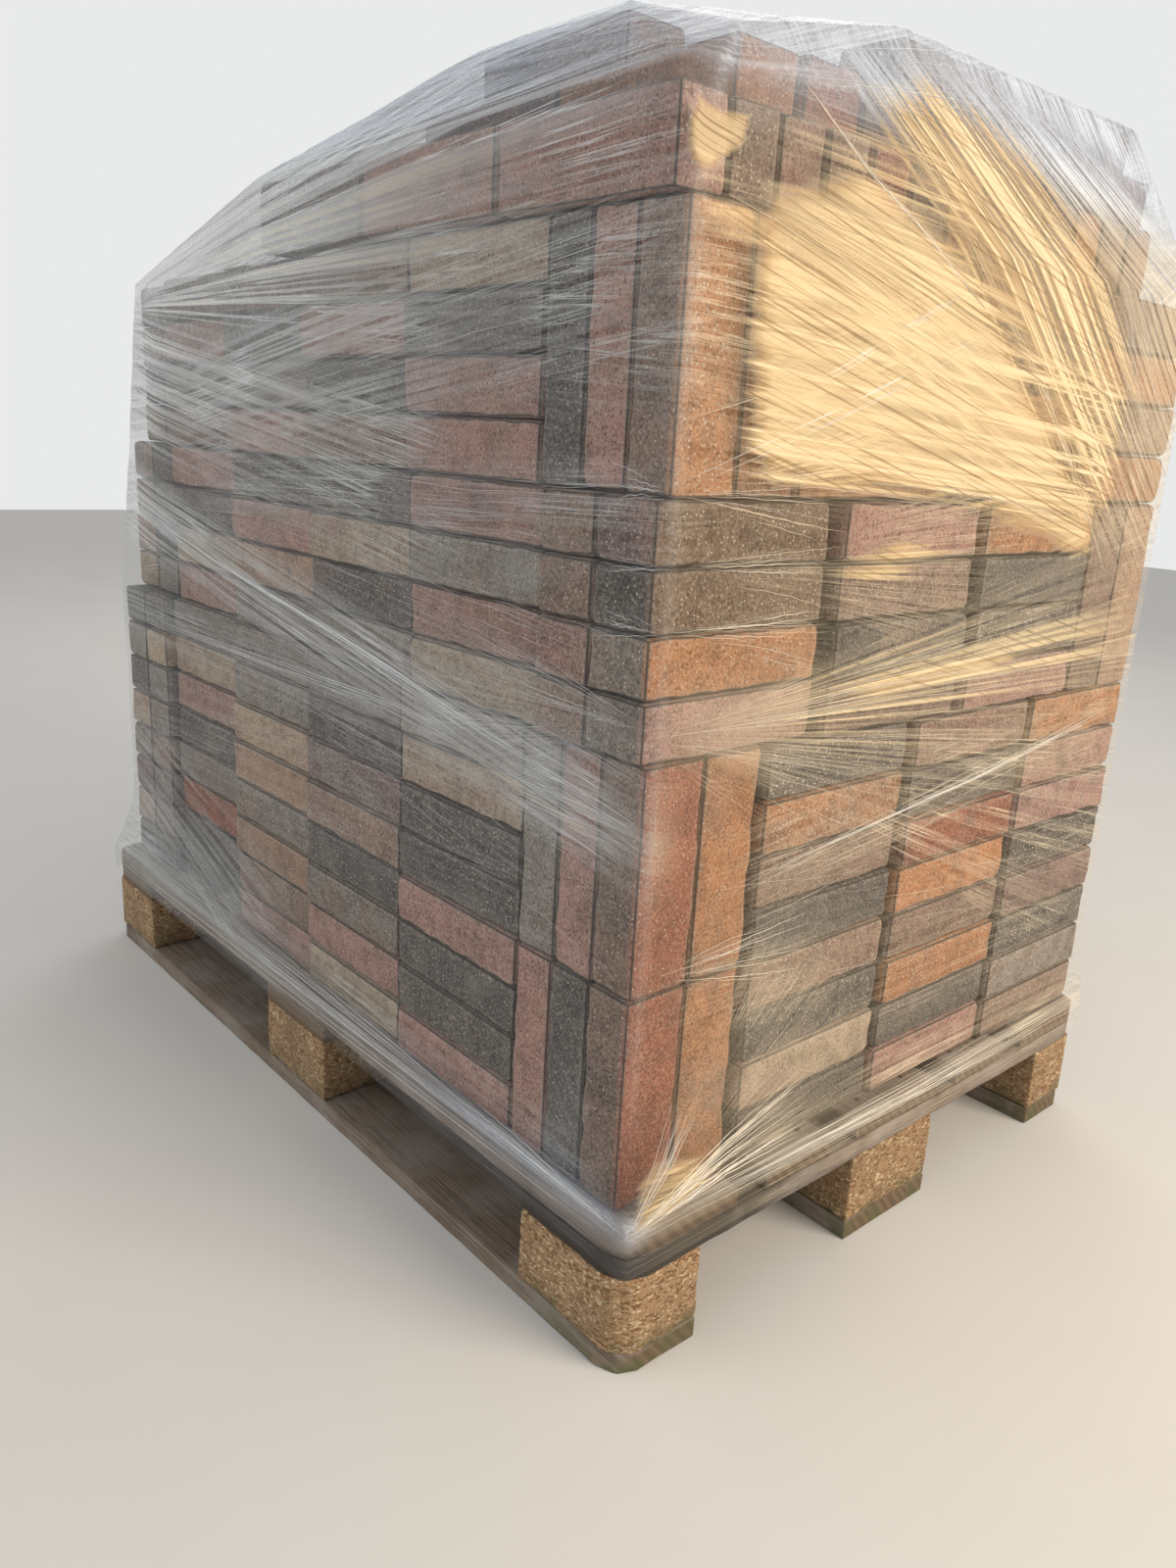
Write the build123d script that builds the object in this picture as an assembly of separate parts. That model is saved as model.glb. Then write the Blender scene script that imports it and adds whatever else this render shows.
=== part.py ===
from build123d import *
import os
import random

# A wrapped pallet of tumbled concrete paving bricks, in millimetres.
# The origin is on the floor under the middle of the pallet, +X along its length and +Z up.

# Pallet boards and blocks
PALLET_LENGTH = 1200.0
PALLET_WIDTH = 800.0
BOARD_THICKNESS = 22.0
BLOCK_HEIGHT = 78.0
WIDE_BOARD = 145.0
NARROW_BOARD = 100.0
BLOCK_LENGTH = 145.0
CORNER_BEVEL = 20.0
BLOCK_BEVEL = 4.0
BOARD_BEVEL = 2.0

# One brick, and how closely bricks lie on each other
BRICK_LENGTH = 207.0
BRICK_WIDTH = 70.0
BRICK_ARRIS = 4.0
BED_JOINT = 0.4
ROWS_PER_TIER = 4
TIERS = 4
HEADER_TIER = 3

# The joints between the stack's columns, and how far it stands out of true
STACK_OFFSET_Y = 9.7
NEAR_CORNER_INSET = 20.0
LONG_JOINT = 3.0
LONG_END_JOINT = 2.3
COLUMN_SETBACKS = (2.0, 6.0, 13.0, 26.0)
FAR_END_JOINT = 0.7
FAR_END_SHIFTS = (0.0, 0.0, 23.0, 44.0)
END_JOINTS = (5.0, 6.0, 3.0)
HEADER_TIER_JOINTS = (9.0, 10.0, 3.0)
END_SETBACKS = (12.0, 5.0, 0.0)
HEADER_TIER_OVERHANG = 8.0
TIER_DRIFT = (0.0, 2.0, 4.0, 8.0)
UNEVENNESS = 2.0
CORE_CLEARANCE = 3.0

# Loose bricks on top of the last tier. A layer of bricks on edge comes first, on it lies a second
# layer, flat, and on that the last few. Each of those is placed in from the first layer's end and
# from its near edge.
EDGE_LAYER_INSET = 22.0
EDGE_LAYER_OVERHANG = 7.0
EDGE_ROW_JOINT = 3.0
EDGE_COLUMN_JOINT = 4.0
EDGE_ROWS_LEFT_OUT = 1
EDGE_LONG_ROWS = 5
LENGTHWISE_PLACES = ((31.0, 85.0), (240.0, 85.0), (26.0, 158.0), (236.0, 158.0), (24.5, 231.0))
CROSSWISE_PLACES = ((22.0, 305.5), (104.0, 321.5), (182.0, 341.5))
CROSSWISE_JOINT = 5.0
LAST_LENGTHWISE = (188.0, 117.0)
LAST_CROSSWISE = (53.0, 310.0)

# Stretch film
FILM_THICKNESS = 1.0
FILM_CLEARANCE = 0.5
FILM_STACK_CLEARANCE = 4.0
FILM_RIM_DROP = 34.0
FILM_HIP_RISE = 2.0
FILM_FLARE_HEIGHT = 110.0
FILM_TOP_CLEARANCE = 2.0
FILM_COLUMN_CLEARANCE = 1.5
FILM_SECOND_MARGINS = (23.0, 4.0, 12.0, 4.0)
FILM_CROWN_MARGIN = 4.0

# Heights worked out from the pieces. A brick on end is as tall as the rows beside it.
brick_thickness = (BRICK_LENGTH - (ROWS_PER_TIER - 1) * BED_JOINT) / ROWS_PER_TIER
block_bottom = BOARD_THICKNESS
block_top = block_bottom + BLOCK_HEIGHT
deck_bottom = block_top + BOARD_THICKNESS
deck_top = deck_bottom + BOARD_THICKNESS
row_pitch = brick_thickness + BED_JOINT
tier_pitch = BRICK_LENGTH + BED_JOINT
stack_base = deck_top + BED_JOINT
stack_top = stack_base + TIERS * tier_pitch - BED_JOINT

# The stack has as many columns as its pallet has room for, between the groups at its corners
soldier_group = 3 * brick_thickness + 2 * BED_JOINT
pair_width = 2 * BRICK_WIDTH + BED_JOINT
long_corners = NEAR_CORNER_INSET + soldier_group + pair_width + UNEVENNESS + LONG_END_JOINT
long_columns = int((PALLET_LENGTH - long_corners) // (BRICK_LENGTH + LONG_JOINT))
stack_half_length = (long_corners + long_columns * (BRICK_LENGTH + LONG_JOINT)) / 2
mean_end_joint = sum(END_JOINTS) / len(END_JOINTS)
end_columns = int((PALLET_WIDTH - pair_width) // (BRICK_LENGTH + mean_end_joint))
end_joints = [END_JOINTS[column % len(END_JOINTS)] for column in range(end_columns)]
end_setbacks = [END_SETBACKS[column % len(END_SETBACKS)] for column in range(end_columns)]
stack_width = pair_width + end_columns * BRICK_LENGTH + sum(end_joints)
near_corner_x = stack_half_length - NEAR_CORNER_INSET
near_face_y = STACK_OFFSET_Y - stack_width / 2
far_face_y = STACK_OFFSET_Y + stack_width / 2
far_end_y = far_face_y - pair_width - end_columns * (BRICK_LENGTH + FAR_END_JOINT)
column_setbacks = [COLUMN_SETBACKS[i % len(COLUMN_SETBACKS)] for i in range(long_columns)]
last_column_x = near_corner_x - soldier_group - long_columns * (LONG_JOINT + BRICK_LENGTH)
film_left = -stack_half_length - FILM_STACK_CLEARANCE

# The first loose layer's own place on the last tier
edge_pitch = brick_thickness + EDGE_ROW_JOINT
edge_rows = int(stack_width // edge_pitch) - EDGE_ROWS_LEFT_OUT
layer_end = stack_half_length - EDGE_LAYER_INSET
layer_near_y = near_face_y - EDGE_LAYER_OVERHANG
layer_left = layer_end - 3 * BRICK_LENGTH - 2 * EDGE_COLUMN_JOINT
layer_base = stack_top + BED_JOINT
unevenness_source = random.Random(11)


def write(name, solids):
    """One STEP file for one node, of one solid or several that don't touch."""
    shape = solids[0] if len(solids) == 1 else Compound(children=solids)
    export_step(shape, os.path.join("parts", name + ".step"))


def cuboid(x0, x1, y0, y1, z0, z1):
    """A block given by its lowest and highest corners."""
    place = Pos((x0 + x1) / 2, (y0 + y1) / 2, (z0 + z1) / 2)
    return place * Box(x1 - x0, y1 - y0, z1 - z0)


def outer_corners(shape):
    """The upright edges of a pallet piece that lie at the pallet's own corners."""
    def at_corner(edge):
        middle = edge.center()
        on_end = abs(abs(middle.X) - PALLET_LENGTH / 2) < 1
        on_side = abs(abs(middle.Y) - PALLET_WIDTH / 2) < 1
        return on_end and on_side
    return [edge for edge in shape.edges().filter_by(Axis.Z) if at_corner(edge)]


def board(x0, x1, y0, y1, z0):
    """A sawn board, its long edges eased and its corners bevelled where they are the pallet's."""
    along = Axis.X if x1 - x0 > y1 - y0 else Axis.Y
    plank = cuboid(x0, x1, y0, y1, z0, z0 + BOARD_THICKNESS)
    corners = outer_corners(plank)
    if corners:
        plank = chamfer(corners, CORNER_BEVEL)
    top = [e for e in plank.edges().filter_by(along) if e.center().Z > z0 + BOARD_THICKNESS / 2]
    return chamfer(top, BOARD_BEVEL)


def block(x, y, width):
    """A pressed block between the bottom boards and the cross boards."""
    body = cuboid(x - BLOCK_LENGTH / 2, x + BLOCK_LENGTH / 2, y - width / 2, y + width / 2,
                  block_bottom, block_top)
    corners = outer_corners(body)
    if corners:
        body = chamfer(corners, CORNER_BEVEL)
    others = [e for e in body.edges().filter_by(Axis.Z) if e.length > BLOCK_HEIGHT - 1]
    sharp = [e for e in others if not is_beside_bevel(e)]
    return chamfer(sharp, BLOCK_BEVEL) if sharp else body


def is_beside_bevel(edge):
    """True for an upright edge that the corner bevel has just made."""
    middle = edge.center()
    near_end = PALLET_LENGTH / 2 - abs(middle.X) < CORNER_BEVEL + 1
    near_side = PALLET_WIDTH / 2 - abs(middle.Y) < CORNER_BEVEL + 1
    return near_end and near_side


def make_pallet():
    """A four-way block pallet: five deck boards, three cross boards, nine blocks, three skids."""
    half_length = PALLET_LENGTH / 2
    half_width = PALLET_WIDTH / 2
    cross_xs = (-half_length + WIDE_BOARD / 2, 0.0, half_length - WIDE_BOARD / 2)
    skid_rows = ((-half_width + NARROW_BOARD / 2, NARROW_BOARD), (0.0, WIDE_BOARD),
                 (half_width - NARROW_BOARD / 2, NARROW_BOARD))

    widths = (WIDE_BOARD, NARROW_BOARD, WIDE_BOARD, NARROW_BOARD, WIDE_BOARD)
    gap = (PALLET_WIDTH - sum(widths)) / (len(widths) - 1)
    y = -half_width
    for number, width in enumerate(widths, 1):
        write(f"deck_board_{number}", [board(-half_length, half_length, y, y + width, deck_bottom)])
        y += width + gap

    for number, x in enumerate(cross_xs, 1):
        low, high = x - WIDE_BOARD / 2, x + WIDE_BOARD / 2
        write(f"cross_board_{number}", [board(low, high, -half_width, half_width, block_top)])

    for row, (y, width) in enumerate(skid_rows, 1):
        write(f"skid_board_{row}", [board(-half_length, half_length, y - width / 2, y + width / 2, 0.0)])
        for column, x in enumerate(cross_xs, 1):
            write(f"block_{row}_{column}", [block(x, y, width)])


def plain_brick(length, width, height, along):
    """One brick centred on the origin, with the four arrises along its length worn off."""
    body = Box(length, width, height)
    return chamfer(body.edges().filter_by(along), BRICK_ARRIS)


stretcher_x = plain_brick(BRICK_LENGTH, BRICK_WIDTH, brick_thickness, Axis.X)
stretcher_y = plain_brick(BRICK_WIDTH, BRICK_LENGTH, brick_thickness, Axis.Y)
soldier = plain_brick(brick_thickness, BRICK_WIDTH, BRICK_LENGTH, Axis.Z)
on_edge_x = plain_brick(BRICK_LENGTH, brick_thickness, BRICK_WIDTH, Axis.X)


def uneven():
    """How far one brick stands out of true, a little different for each."""
    return unevenness_source.uniform(-UNEVENNESS, UNEVENNESS)


def stretchers(x0, y_face, side, base):
    """A column of rows along X. side is -1 on the near face and 1 on the far face."""
    bricks = []
    for row in range(ROWS_PER_TIER):
        y = y_face - side * BRICK_WIDTH / 2 + uneven()
        z = base + row * row_pitch + brick_thickness / 2
        bricks.append(Pos(x0 + BRICK_LENGTH / 2, y, z) * stretcher_x)
    return bricks


def headers(x0, y0, base, shift=True):
    """A column of rows along Y, from its lowest corner."""
    bricks = []
    for row in range(ROWS_PER_TIER):
        x = x0 + BRICK_WIDTH / 2 + (uneven() if shift else 0.0)
        z = base + row * row_pitch + brick_thickness / 2
        bricks.append(Pos(x, y0 + BRICK_LENGTH / 2, z) * stretcher_y)
    return bricks


def soldiers(x0, y0, base, rows=2):
    """Bricks on end, three along X and one or two along Y, from the group's lowest corner."""
    bricks = []
    for i in range(3):
        for j in range(rows):
            x = x0 + i * (brick_thickness + BED_JOINT) + brick_thickness / 2
            y = y0 + j * (BRICK_WIDTH + BED_JOINT) + BRICK_WIDTH / 2
            bricks.append(Pos(x, y, base + BRICK_LENGTH / 2) * soldier)
    return bricks


def near_side(tier, base):
    """The long side with the near corner: its corner group, stretcher columns and last header."""
    end_x = near_corner_x + TIER_DRIFT[tier - 1]
    if tier == HEADER_TIER:
        y = near_face_y - HEADER_TIER_OVERHANG
        bricks = headers(end_x - BRICK_WIDTH, y, base, False)
        bricks += headers(end_x - pair_width, y, base, False)
        x = end_x - pair_width
    else:
        bricks = soldiers(end_x - soldier_group, near_face_y, base)
        x = end_x - soldier_group
    for setback in column_setbacks:
        x -= LONG_JOINT + BRICK_LENGTH
        bricks += stretchers(x, near_face_y + setback, -1, base)
    last = -stack_half_length + BRICK_WIDTH + UNEVENNESS + BED_JOINT
    return bricks + headers(last, far_end_y + FAR_END_SHIFTS[tier - 1], base, False)


def near_end(tier, base):
    """The end of the stack beside the near corner: its columns, and in one tier two soldiers."""
    bricks = []
    if tier == HEADER_TIER:
        y = near_face_y - HEADER_TIER_OVERHANG + BRICK_LENGTH
        for column in range(1, end_columns):
            y += HEADER_TIER_JOINTS[(column - 1) % len(HEADER_TIER_JOINTS)]
            x = stack_half_length - end_setbacks[column] - BRICK_WIDTH
            bricks += headers(x, y, base)
            y += BRICK_LENGTH
        group_x = stack_half_length - soldier_group
        return bricks + soldiers(group_x, y + HEADER_TIER_JOINTS[-1], base)
    y = near_face_y + pair_width
    for column in range(end_columns):
        y += end_joints[column]
        x = stack_half_length - end_setbacks[column] - BRICK_WIDTH
        bricks += headers(x, y, base)
        y += BRICK_LENGTH
    return bricks


def far_side(tier, base):
    """The long side behind: a header beside the end column, and the stretcher columns."""
    bricks = []
    x = stack_half_length - soldier_group
    if tier != HEADER_TIER:
        x = stack_half_length - end_setbacks[-1] - 2 * BRICK_WIDTH - UNEVENNESS - BED_JOINT
        bricks += headers(x, far_face_y - BRICK_LENGTH, base, False)
    for column in range(long_columns):
        x -= LONG_JOINT + BRICK_LENGTH
        bricks += stretchers(x, far_face_y - UNEVENNESS, 1, base)
    return bricks


def far_end(tier, base):
    """The end behind: its columns and soldiers at the last corner, fewer where it starts late."""
    bricks = []
    shift = FAR_END_SHIFTS[tier - 1]
    y = far_end_y + shift
    rows = 1 if shift else 2
    pitch = (far_face_y - BRICK_WIDTH - y) / end_columns if shift else BRICK_LENGTH + FAR_END_JOINT
    for column in range(end_columns):
        bricks += headers(-stack_half_length, y, base, column > 0)
        y += pitch
    return bricks + soldiers(-stack_half_length, y, base, rows)


def core_outline():
    """The plan of the hidden bricks, inside every column and clear of the corner groups."""
    play = UNEVENNESS + CORE_CLEARANCE
    x0 = -stack_half_length + BRICK_WIDTH + play
    x1 = stack_half_length - max(end_setbacks) - BRICK_WIDTH - play
    y0 = near_face_y + max(column_setbacks) + BRICK_WIDTH + play
    y1 = far_face_y - BRICK_WIDTH - 2 * UNEVENNESS - play
    near_x = near_corner_x - soldier_group - play
    near_y = near_face_y + BRICK_LENGTH + play
    left_x = -stack_half_length + soldier_group + play
    left_near_y = far_end_y + max(FAR_END_SHIFTS) + BRICK_LENGTH + play
    left_far_y = far_end_y + end_columns * (BRICK_LENGTH + FAR_END_JOINT) - play
    right_x = stack_half_length - soldier_group - play
    right_y = far_face_y - BRICK_LENGTH - play
    outline = [(x0, left_near_y), (left_x, left_near_y), (left_x, y0), (near_x, y0),
               (near_x, near_y), (x1, near_y), (x1, right_y), (right_x, right_y),
               (right_x, y1), (left_x, y1), (left_x, left_far_y), (x0, left_far_y)]
    return outline, (left_x, near_x, y0, y1)


def make_core():
    """The hidden bricks as one plain block, with its last course left to real bricks."""
    outline, (x0, x1, y0, y1) = core_outline()
    plan = make_face(Polyline(*outline, close=True))
    body = Pos(0, 0, stack_base) * extrude(plan, stack_top - stack_base - row_pitch)
    write("brick_core", [body])

    pitch_y = BRICK_WIDTH + EDGE_ROW_JOINT
    rows = int((y1 - y0) // pitch_y)
    columns = int((x1 - x0) // (BRICK_LENGTH + LONG_JOINT))
    bricks = []
    for row in range(rows):
        for column in range(columns):
            x = x0 + column * (BRICK_LENGTH + LONG_JOINT) + BRICK_LENGTH / 2
            y = y0 + (row + 0.5) * (y1 - y0) / rows
            bricks.append(Pos(x, y, stack_top - brick_thickness / 2) * stretcher_x)
    write("tier_4_middle_course", bricks)


def make_tiers():
    """Four tiers, each a closed ring of bricks round the hidden ones."""
    for tier in range(1, TIERS + 1):
        base = stack_base + (tier - 1) * tier_pitch
        write(f"tier_{tier}_near_side", near_side(tier, base))
        write(f"tier_{tier}_near_end", near_end(tier, base))
        write(f"tier_{tier}_far_side", far_side(tier, base))
        write(f"tier_{tier}_far_end", far_end(tier, base))


def make_edge_layer(end_x, near_y, base):
    """Bricks on edge, lying lengthwise, up to three to a row and fewer at the back."""
    z = base + BRICK_WIDTH / 2
    bricks = []
    for row in range(edge_rows):
        y = near_y + row * edge_pitch + brick_thickness / 2
        shift = uneven() if row else 0.0
        bricks.append(Pos(end_x - BRICK_LENGTH / 2 + shift, y, z) * on_edge_x)
        places = 3 if row < EDGE_LONG_ROWS else 2 if row < edge_rows - EDGE_ROWS_LEFT_OUT else 1
        for place in range(1, places):
            x = end_x - (place + 0.5) * BRICK_LENGTH - place * EDGE_COLUMN_JOINT + uneven() / 2
            bricks.append(Pos(x, y, z) * on_edge_x)
    write("top_layer_on_edge", bricks)


def lengthwise(place, base):
    """A flat brick along X, its place given in from the first layer's end and near edge."""
    x = layer_end - place[0] - BRICK_LENGTH / 2
    y = layer_near_y + place[1] + BRICK_WIDTH / 2
    return Pos(x, y, base + brick_thickness / 2) * stretcher_x


def crosswise(place, base):
    """Flat bricks along Y, as many as the first layer carries with one row's overhang."""
    room = (edge_rows + 1) * edge_pitch - place[1]
    pitch = BRICK_LENGTH + CROSSWISE_JOINT
    x = layer_end - place[0] - BRICK_WIDTH / 2
    bricks = []
    for i in range(int(room // pitch)):
        y = layer_near_y + place[1] + i * pitch + BRICK_LENGTH / 2
        bricks.append(Pos(x, y, base + brick_thickness / 2) * stretcher_y)
    return bricks


def make_loose_bricks(base):
    """The second layer and the last few bricks, and the boxes that the film goes round."""
    second = [lengthwise(place, base) for place in LENGTHWISE_PLACES]
    for place in CROSSWISE_PLACES:
        second += crosswise(place, base)
    last_long = lengthwise(LAST_LENGTHWISE, base + row_pitch)
    last_cross = crosswise(LAST_CROSSWISE, base + row_pitch)
    write("top_layer_loose", second + [last_long] + last_cross)
    groups = (second, [last_long], last_cross)
    return [Compound(children=group).bounding_box() for group in groups]


def facet(points):
    """A flat face through its corners."""
    return make_face(Polyline(*points, close=True))


def band(low, high):
    """The facets between two rings, each pair of them meeting in the ridge and not the hollow."""
    faces = []
    for i in range(len(low)):
        j = (i + 1) % len(low)
        a, b, c, d = (Vector(*point) for point in (low[i], low[j], high[j], high[i]))
        if (b - a).cross(c - a).dot(d - a) > 0:
            faces += [facet([a, b, d]), facet([b, c, d])]
        else:
            faces += [facet([a, b, c]), facet([a, c, d])]
    return faces


def banded_solid(rings):
    """A solid with a band of facets from each ring of points to the next one up."""
    faces = [facet(rings[0]), facet(rings[-1])]
    for low, high in zip(rings, rings[1:]):
        faces += band(low, high)
    return Solid(Shell(faces))


def outline(left, right, near, far, z, near_ys=None):
    """Six points of the film at one height. Two stand on the near side, where it may bend."""
    last_share = (last_column_x - film_left) / (2 * stack_half_length)
    layer_share = (layer_left - film_left) / (2 * stack_half_length)
    xs = (left, left + last_share * (right - left), left + layer_share * (right - left))
    ys = near_ys or (near, near, near)
    return [*((x, y, z) for x, y in zip(xs, ys)), (right, near, z), (right, far, z), (left, far, z)]


def wall_ys(shift, right, near, clearance, reach):
    """The near side at the left corner, the last column and the layer's end, clear of them all."""
    corner = far_end_y + shift - clearance
    lowest = []
    for number, setback in enumerate(column_setbacks, 1):
        x = near_corner_x - soldier_group - number * (LONG_JOINT + BRICK_LENGTH)
        share = (x - last_column_x) / (right - last_column_x)
        face = near_face_y + setback - UNEVENNESS - FILM_COLUMN_CLEARANCE
        lowest.append((face - share * near) / (1 - share))
    share = (last_column_x - film_left) / (right - film_left)
    bend = min(*lowest, corner + share * (near - corner))
    share = (layer_left - last_column_x) / (right - last_column_x)
    return corner, bend, near if reach else bend + share * (near - bend)


def film_body(grow, rim_drop, boxes):
    """The space that the film encloses, grown by the same amount on every side."""
    second, last_long, last_cross = boxes
    play = FILM_STACK_CLEARANCE + grow
    left = -stack_half_length - play
    right = stack_half_length + play
    near = near_face_y - HEADER_TIER_OVERHANG - play
    far = far_face_y + FILM_CLEARANCE + UNEVENNESS + grow
    deck_x = PALLET_LENGTH / 2 + FILM_CLEARANCE + grow
    deck_y = PALLET_WIDTH / 2 + FILM_CLEARANCE + grow
    rim = (min(-deck_x, left), max(deck_x, right), min(-deck_y, near), max(deck_y, far))
    rings = [outline(*rim, deck_top - rim_drop), outline(*rim, deck_top + FILM_HIP_RISE + grow)]

    heights = [deck_top + FILM_FLARE_HEIGHT]
    heights += [stack_base + tier * tier_pitch for tier in range(2, TIERS)]
    heights.append(stack_top + FILM_TOP_CLEARANCE + grow)
    for z, shift in zip(heights, FAR_END_SHIFTS[-len(heights):]):
        ys = wall_ys(shift, right, near + grow, FILM_STACK_CLEARANCE, z == heights[-1])
        ys = [y - grow for y in ys]
        rings.append(outline(left, right, near, far, z, ys))

    edge_top = stack_top + 2 * BED_JOINT + BRICK_WIDTH + FILM_TOP_CLEARANCE + grow
    shelf_x = layer_left - UNEVENNESS - play
    shelf_far = (far + second.max.Y) / 2
    rings.append(outline(shelf_x, layer_end + play, near, shelf_far, edge_top))
    back, front, near_margin, far_margin = FILM_SECOND_MARGINS
    rings.append(outline(second.min.X - back - grow, second.max.X + front + grow,
                         second.min.Y - near_margin - grow, second.max.Y + far_margin + grow,
                         second.max.Z + FILM_TOP_CLEARANCE + grow))

    margin = FILM_CROWN_MARGIN + grow
    crown = last_long.max.Z + FILM_TOP_CLEARANCE + grow
    rings.append([(last_long.min.X - margin, last_long.max.Y + margin, crown),
                  (last_long.min.X - margin, last_long.min.Y - margin, crown),
                  (last_long.max.X + margin, last_long.min.Y - margin, crown),
                  (last_cross.max.X + margin, last_cross.min.Y - margin, crown),
                  (last_cross.max.X + margin, last_cross.max.Y + margin, crown),
                  (last_cross.min.X - margin, last_cross.max.Y + margin, crown)])
    return banded_solid(rings)


def make_film(boxes):
    """Clear stretch film from the deck's edge up over the top bricks, as one thin shell."""
    outside = film_body(FILM_THICKNESS, FILM_RIM_DROP, boxes)
    inside = film_body(0.0, FILM_RIM_DROP + FILM_THICKNESS, boxes)
    shell = outside - inside
    write("stretch_film", shell.solids())


os.makedirs("parts", exist_ok=True)
make_pallet()
make_core()
make_tiers()
make_edge_layer(layer_end, layer_near_y, layer_base)
make_film(make_loose_bricks(layer_base + BRICK_WIDTH + BED_JOINT))
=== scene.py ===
import functools
import itertools
import math

import bmesh
import bpy
import numpy as np
from bpy.props import FloatProperty, FloatVectorProperty, IntProperty, PointerProperty
from mathutils import Matrix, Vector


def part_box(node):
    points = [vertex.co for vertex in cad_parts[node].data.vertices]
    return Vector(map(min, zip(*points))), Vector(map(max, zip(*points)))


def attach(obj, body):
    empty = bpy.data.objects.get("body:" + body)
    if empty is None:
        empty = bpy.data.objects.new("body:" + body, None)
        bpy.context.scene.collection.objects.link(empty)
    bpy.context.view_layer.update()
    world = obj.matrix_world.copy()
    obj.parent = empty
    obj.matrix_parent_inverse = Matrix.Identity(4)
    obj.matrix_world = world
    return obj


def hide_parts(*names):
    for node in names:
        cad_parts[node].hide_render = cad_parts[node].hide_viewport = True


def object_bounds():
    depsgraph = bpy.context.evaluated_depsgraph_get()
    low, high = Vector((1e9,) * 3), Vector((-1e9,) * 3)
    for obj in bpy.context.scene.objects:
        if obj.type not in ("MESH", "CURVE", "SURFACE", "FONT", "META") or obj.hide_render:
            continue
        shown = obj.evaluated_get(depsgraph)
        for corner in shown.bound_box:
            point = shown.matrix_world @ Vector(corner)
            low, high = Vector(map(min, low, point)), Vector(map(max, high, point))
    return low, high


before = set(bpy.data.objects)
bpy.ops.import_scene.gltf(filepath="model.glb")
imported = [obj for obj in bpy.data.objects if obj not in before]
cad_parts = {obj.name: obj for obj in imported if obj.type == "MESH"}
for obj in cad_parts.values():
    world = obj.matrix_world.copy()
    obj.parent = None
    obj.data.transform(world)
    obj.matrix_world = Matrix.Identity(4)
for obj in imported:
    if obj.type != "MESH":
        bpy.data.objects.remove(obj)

bl_info = {
    "name": "Wrapped pallet of bricks",
    "version": (1, 0, 0),
    "blender": (4, 5, 0),
    "location": "3D View > Sidebar > Pallet",
    "description": "Tumbled concrete bricks on a wooden pallet, wrapped in clear stretch film",
    "category": "Object",
}

# Everything is in metres unless a name says _mm. The origin is on the floor, under the middle of the
# pallet.
MM = 0.001
NEAR_CORNER = (0.600, -0.400)
CAD_LOW, CAD_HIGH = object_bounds()
TIERS = (1, 2, 3, 4)
TIER_PARTS = ("near_side", "near_end", "far_side", "far_end")
TIER_NODES = [f"tier_{tier}_{part}" for tier in TIERS for part in TIER_PARTS]
TOP_NODES = ["top_layer_on_edge", "top_layer_loose"]


def linear(code):
    """An sRGB hex colour as linear numbers."""
    parts = [int(code[i:i + 2], 16) / 255 for i in (1, 3, 5)]
    return tuple(c / 12.92 if c <= 0.04045 else ((c + 0.055) / 1.055) ** 2.4 for c in parts)


def colour(code, name, description):
    """A colour that the user can change."""
    return FloatVectorProperty(name=name, description=description, subtype="COLOR", size=3,
                               min=0.0, max=1.0, default=linear(code))


def number(default, name, description, **others):
    """A number that the user can change."""
    return FloatProperty(name=name, description=description, default=default, min=0.0, **others)


def length(size_mm, name, description):
    """A length that the user can change."""
    return number(size_mm * MM, name, description, precision=5, subtype="DISTANCE", unit="LENGTH")


class BrickSettings(bpy.types.PropertyGroup):
    arris: length(5.2, "Arris", "How far a tumbled brick's edges are rounded")
    wear: number(0.75, "Wear", "How uneven the rounding is along an edge", max=1.0)
    pocks: length(0.55, "Pocks", "Depth of the dents in a brick's faces")
    pink: colour("#A47F74", "Pink", "Pale red brick")
    red: colour("#945A43", "Red", "Red brick")
    orange: colour("#A48670", "Tan", "Tan brick")
    # Painted sunlight: a sunlit copy of the tan brick's colour, for bricks on the sunny end.
    amber: colour("#AE7A52", "Amber", "Orange brick on the sunny end")
    sand: colour("#AE9B84", "Sand", "Pale tan brick")
    brown: colour("#8A7263", "Brown", "Grey-brown brick")
    plum: colour("#79635F", "Plum", "Purple-brown brick")
    grey: colour("#857D75", "Grey", "Mid grey brick")
    # Painted sunlight: the sunlit colour of dark brown end faces at the near corner.
    umber: colour("#735E4B", "Umber", "Dark brown brick on the sunny end")
    anthracite: colour("#5B5652", "Anthracite", "Dark grey brick")
    dust: colour("#B4A89B", "Dust", "Dust and lime on worn edges")


class PalletSettings(bpy.types.PropertyGroup):
    board_edge: length(1.6, "Board edge", "How far the boards' edges are rounded")
    block_edge: length(2.5, "Block edge", "How far the blocks' edges are rounded")
    corner_bevel: length(20, "Corner bevel", "Size of the bevel at the pallet's corners")
    nail_head: length(7.5, "Nail head", "Diameter of a nail head")
    nail_count: IntProperty(name="Nails", description="Nails in one crossing of boards",
                            default=4, min=2, max=4)
    pine: colour("#8F8070", "Pine", "Weathered board")
    pine_dark: colour("#5C4F45", "Dark grain", "Summer grain of a weathered board")
    silver: colour("#9A928A", "Silver", "Weathered grey on a board's face")
    chips: colour("#BD9E7A", "Chips", "Wood chips of a pressed block")
    chips_dark: colour("#86623F", "Dark chips", "Bark and darker chips of a pressed block")
    moss: colour("#565B36", "Moss", "Green growth low on the wood")
    mould: colour("#2B2722", "Mould", "Black mould at the wet corner")
    rust: colour("#5F4030", "Rust", "Rusted nail")


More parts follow.
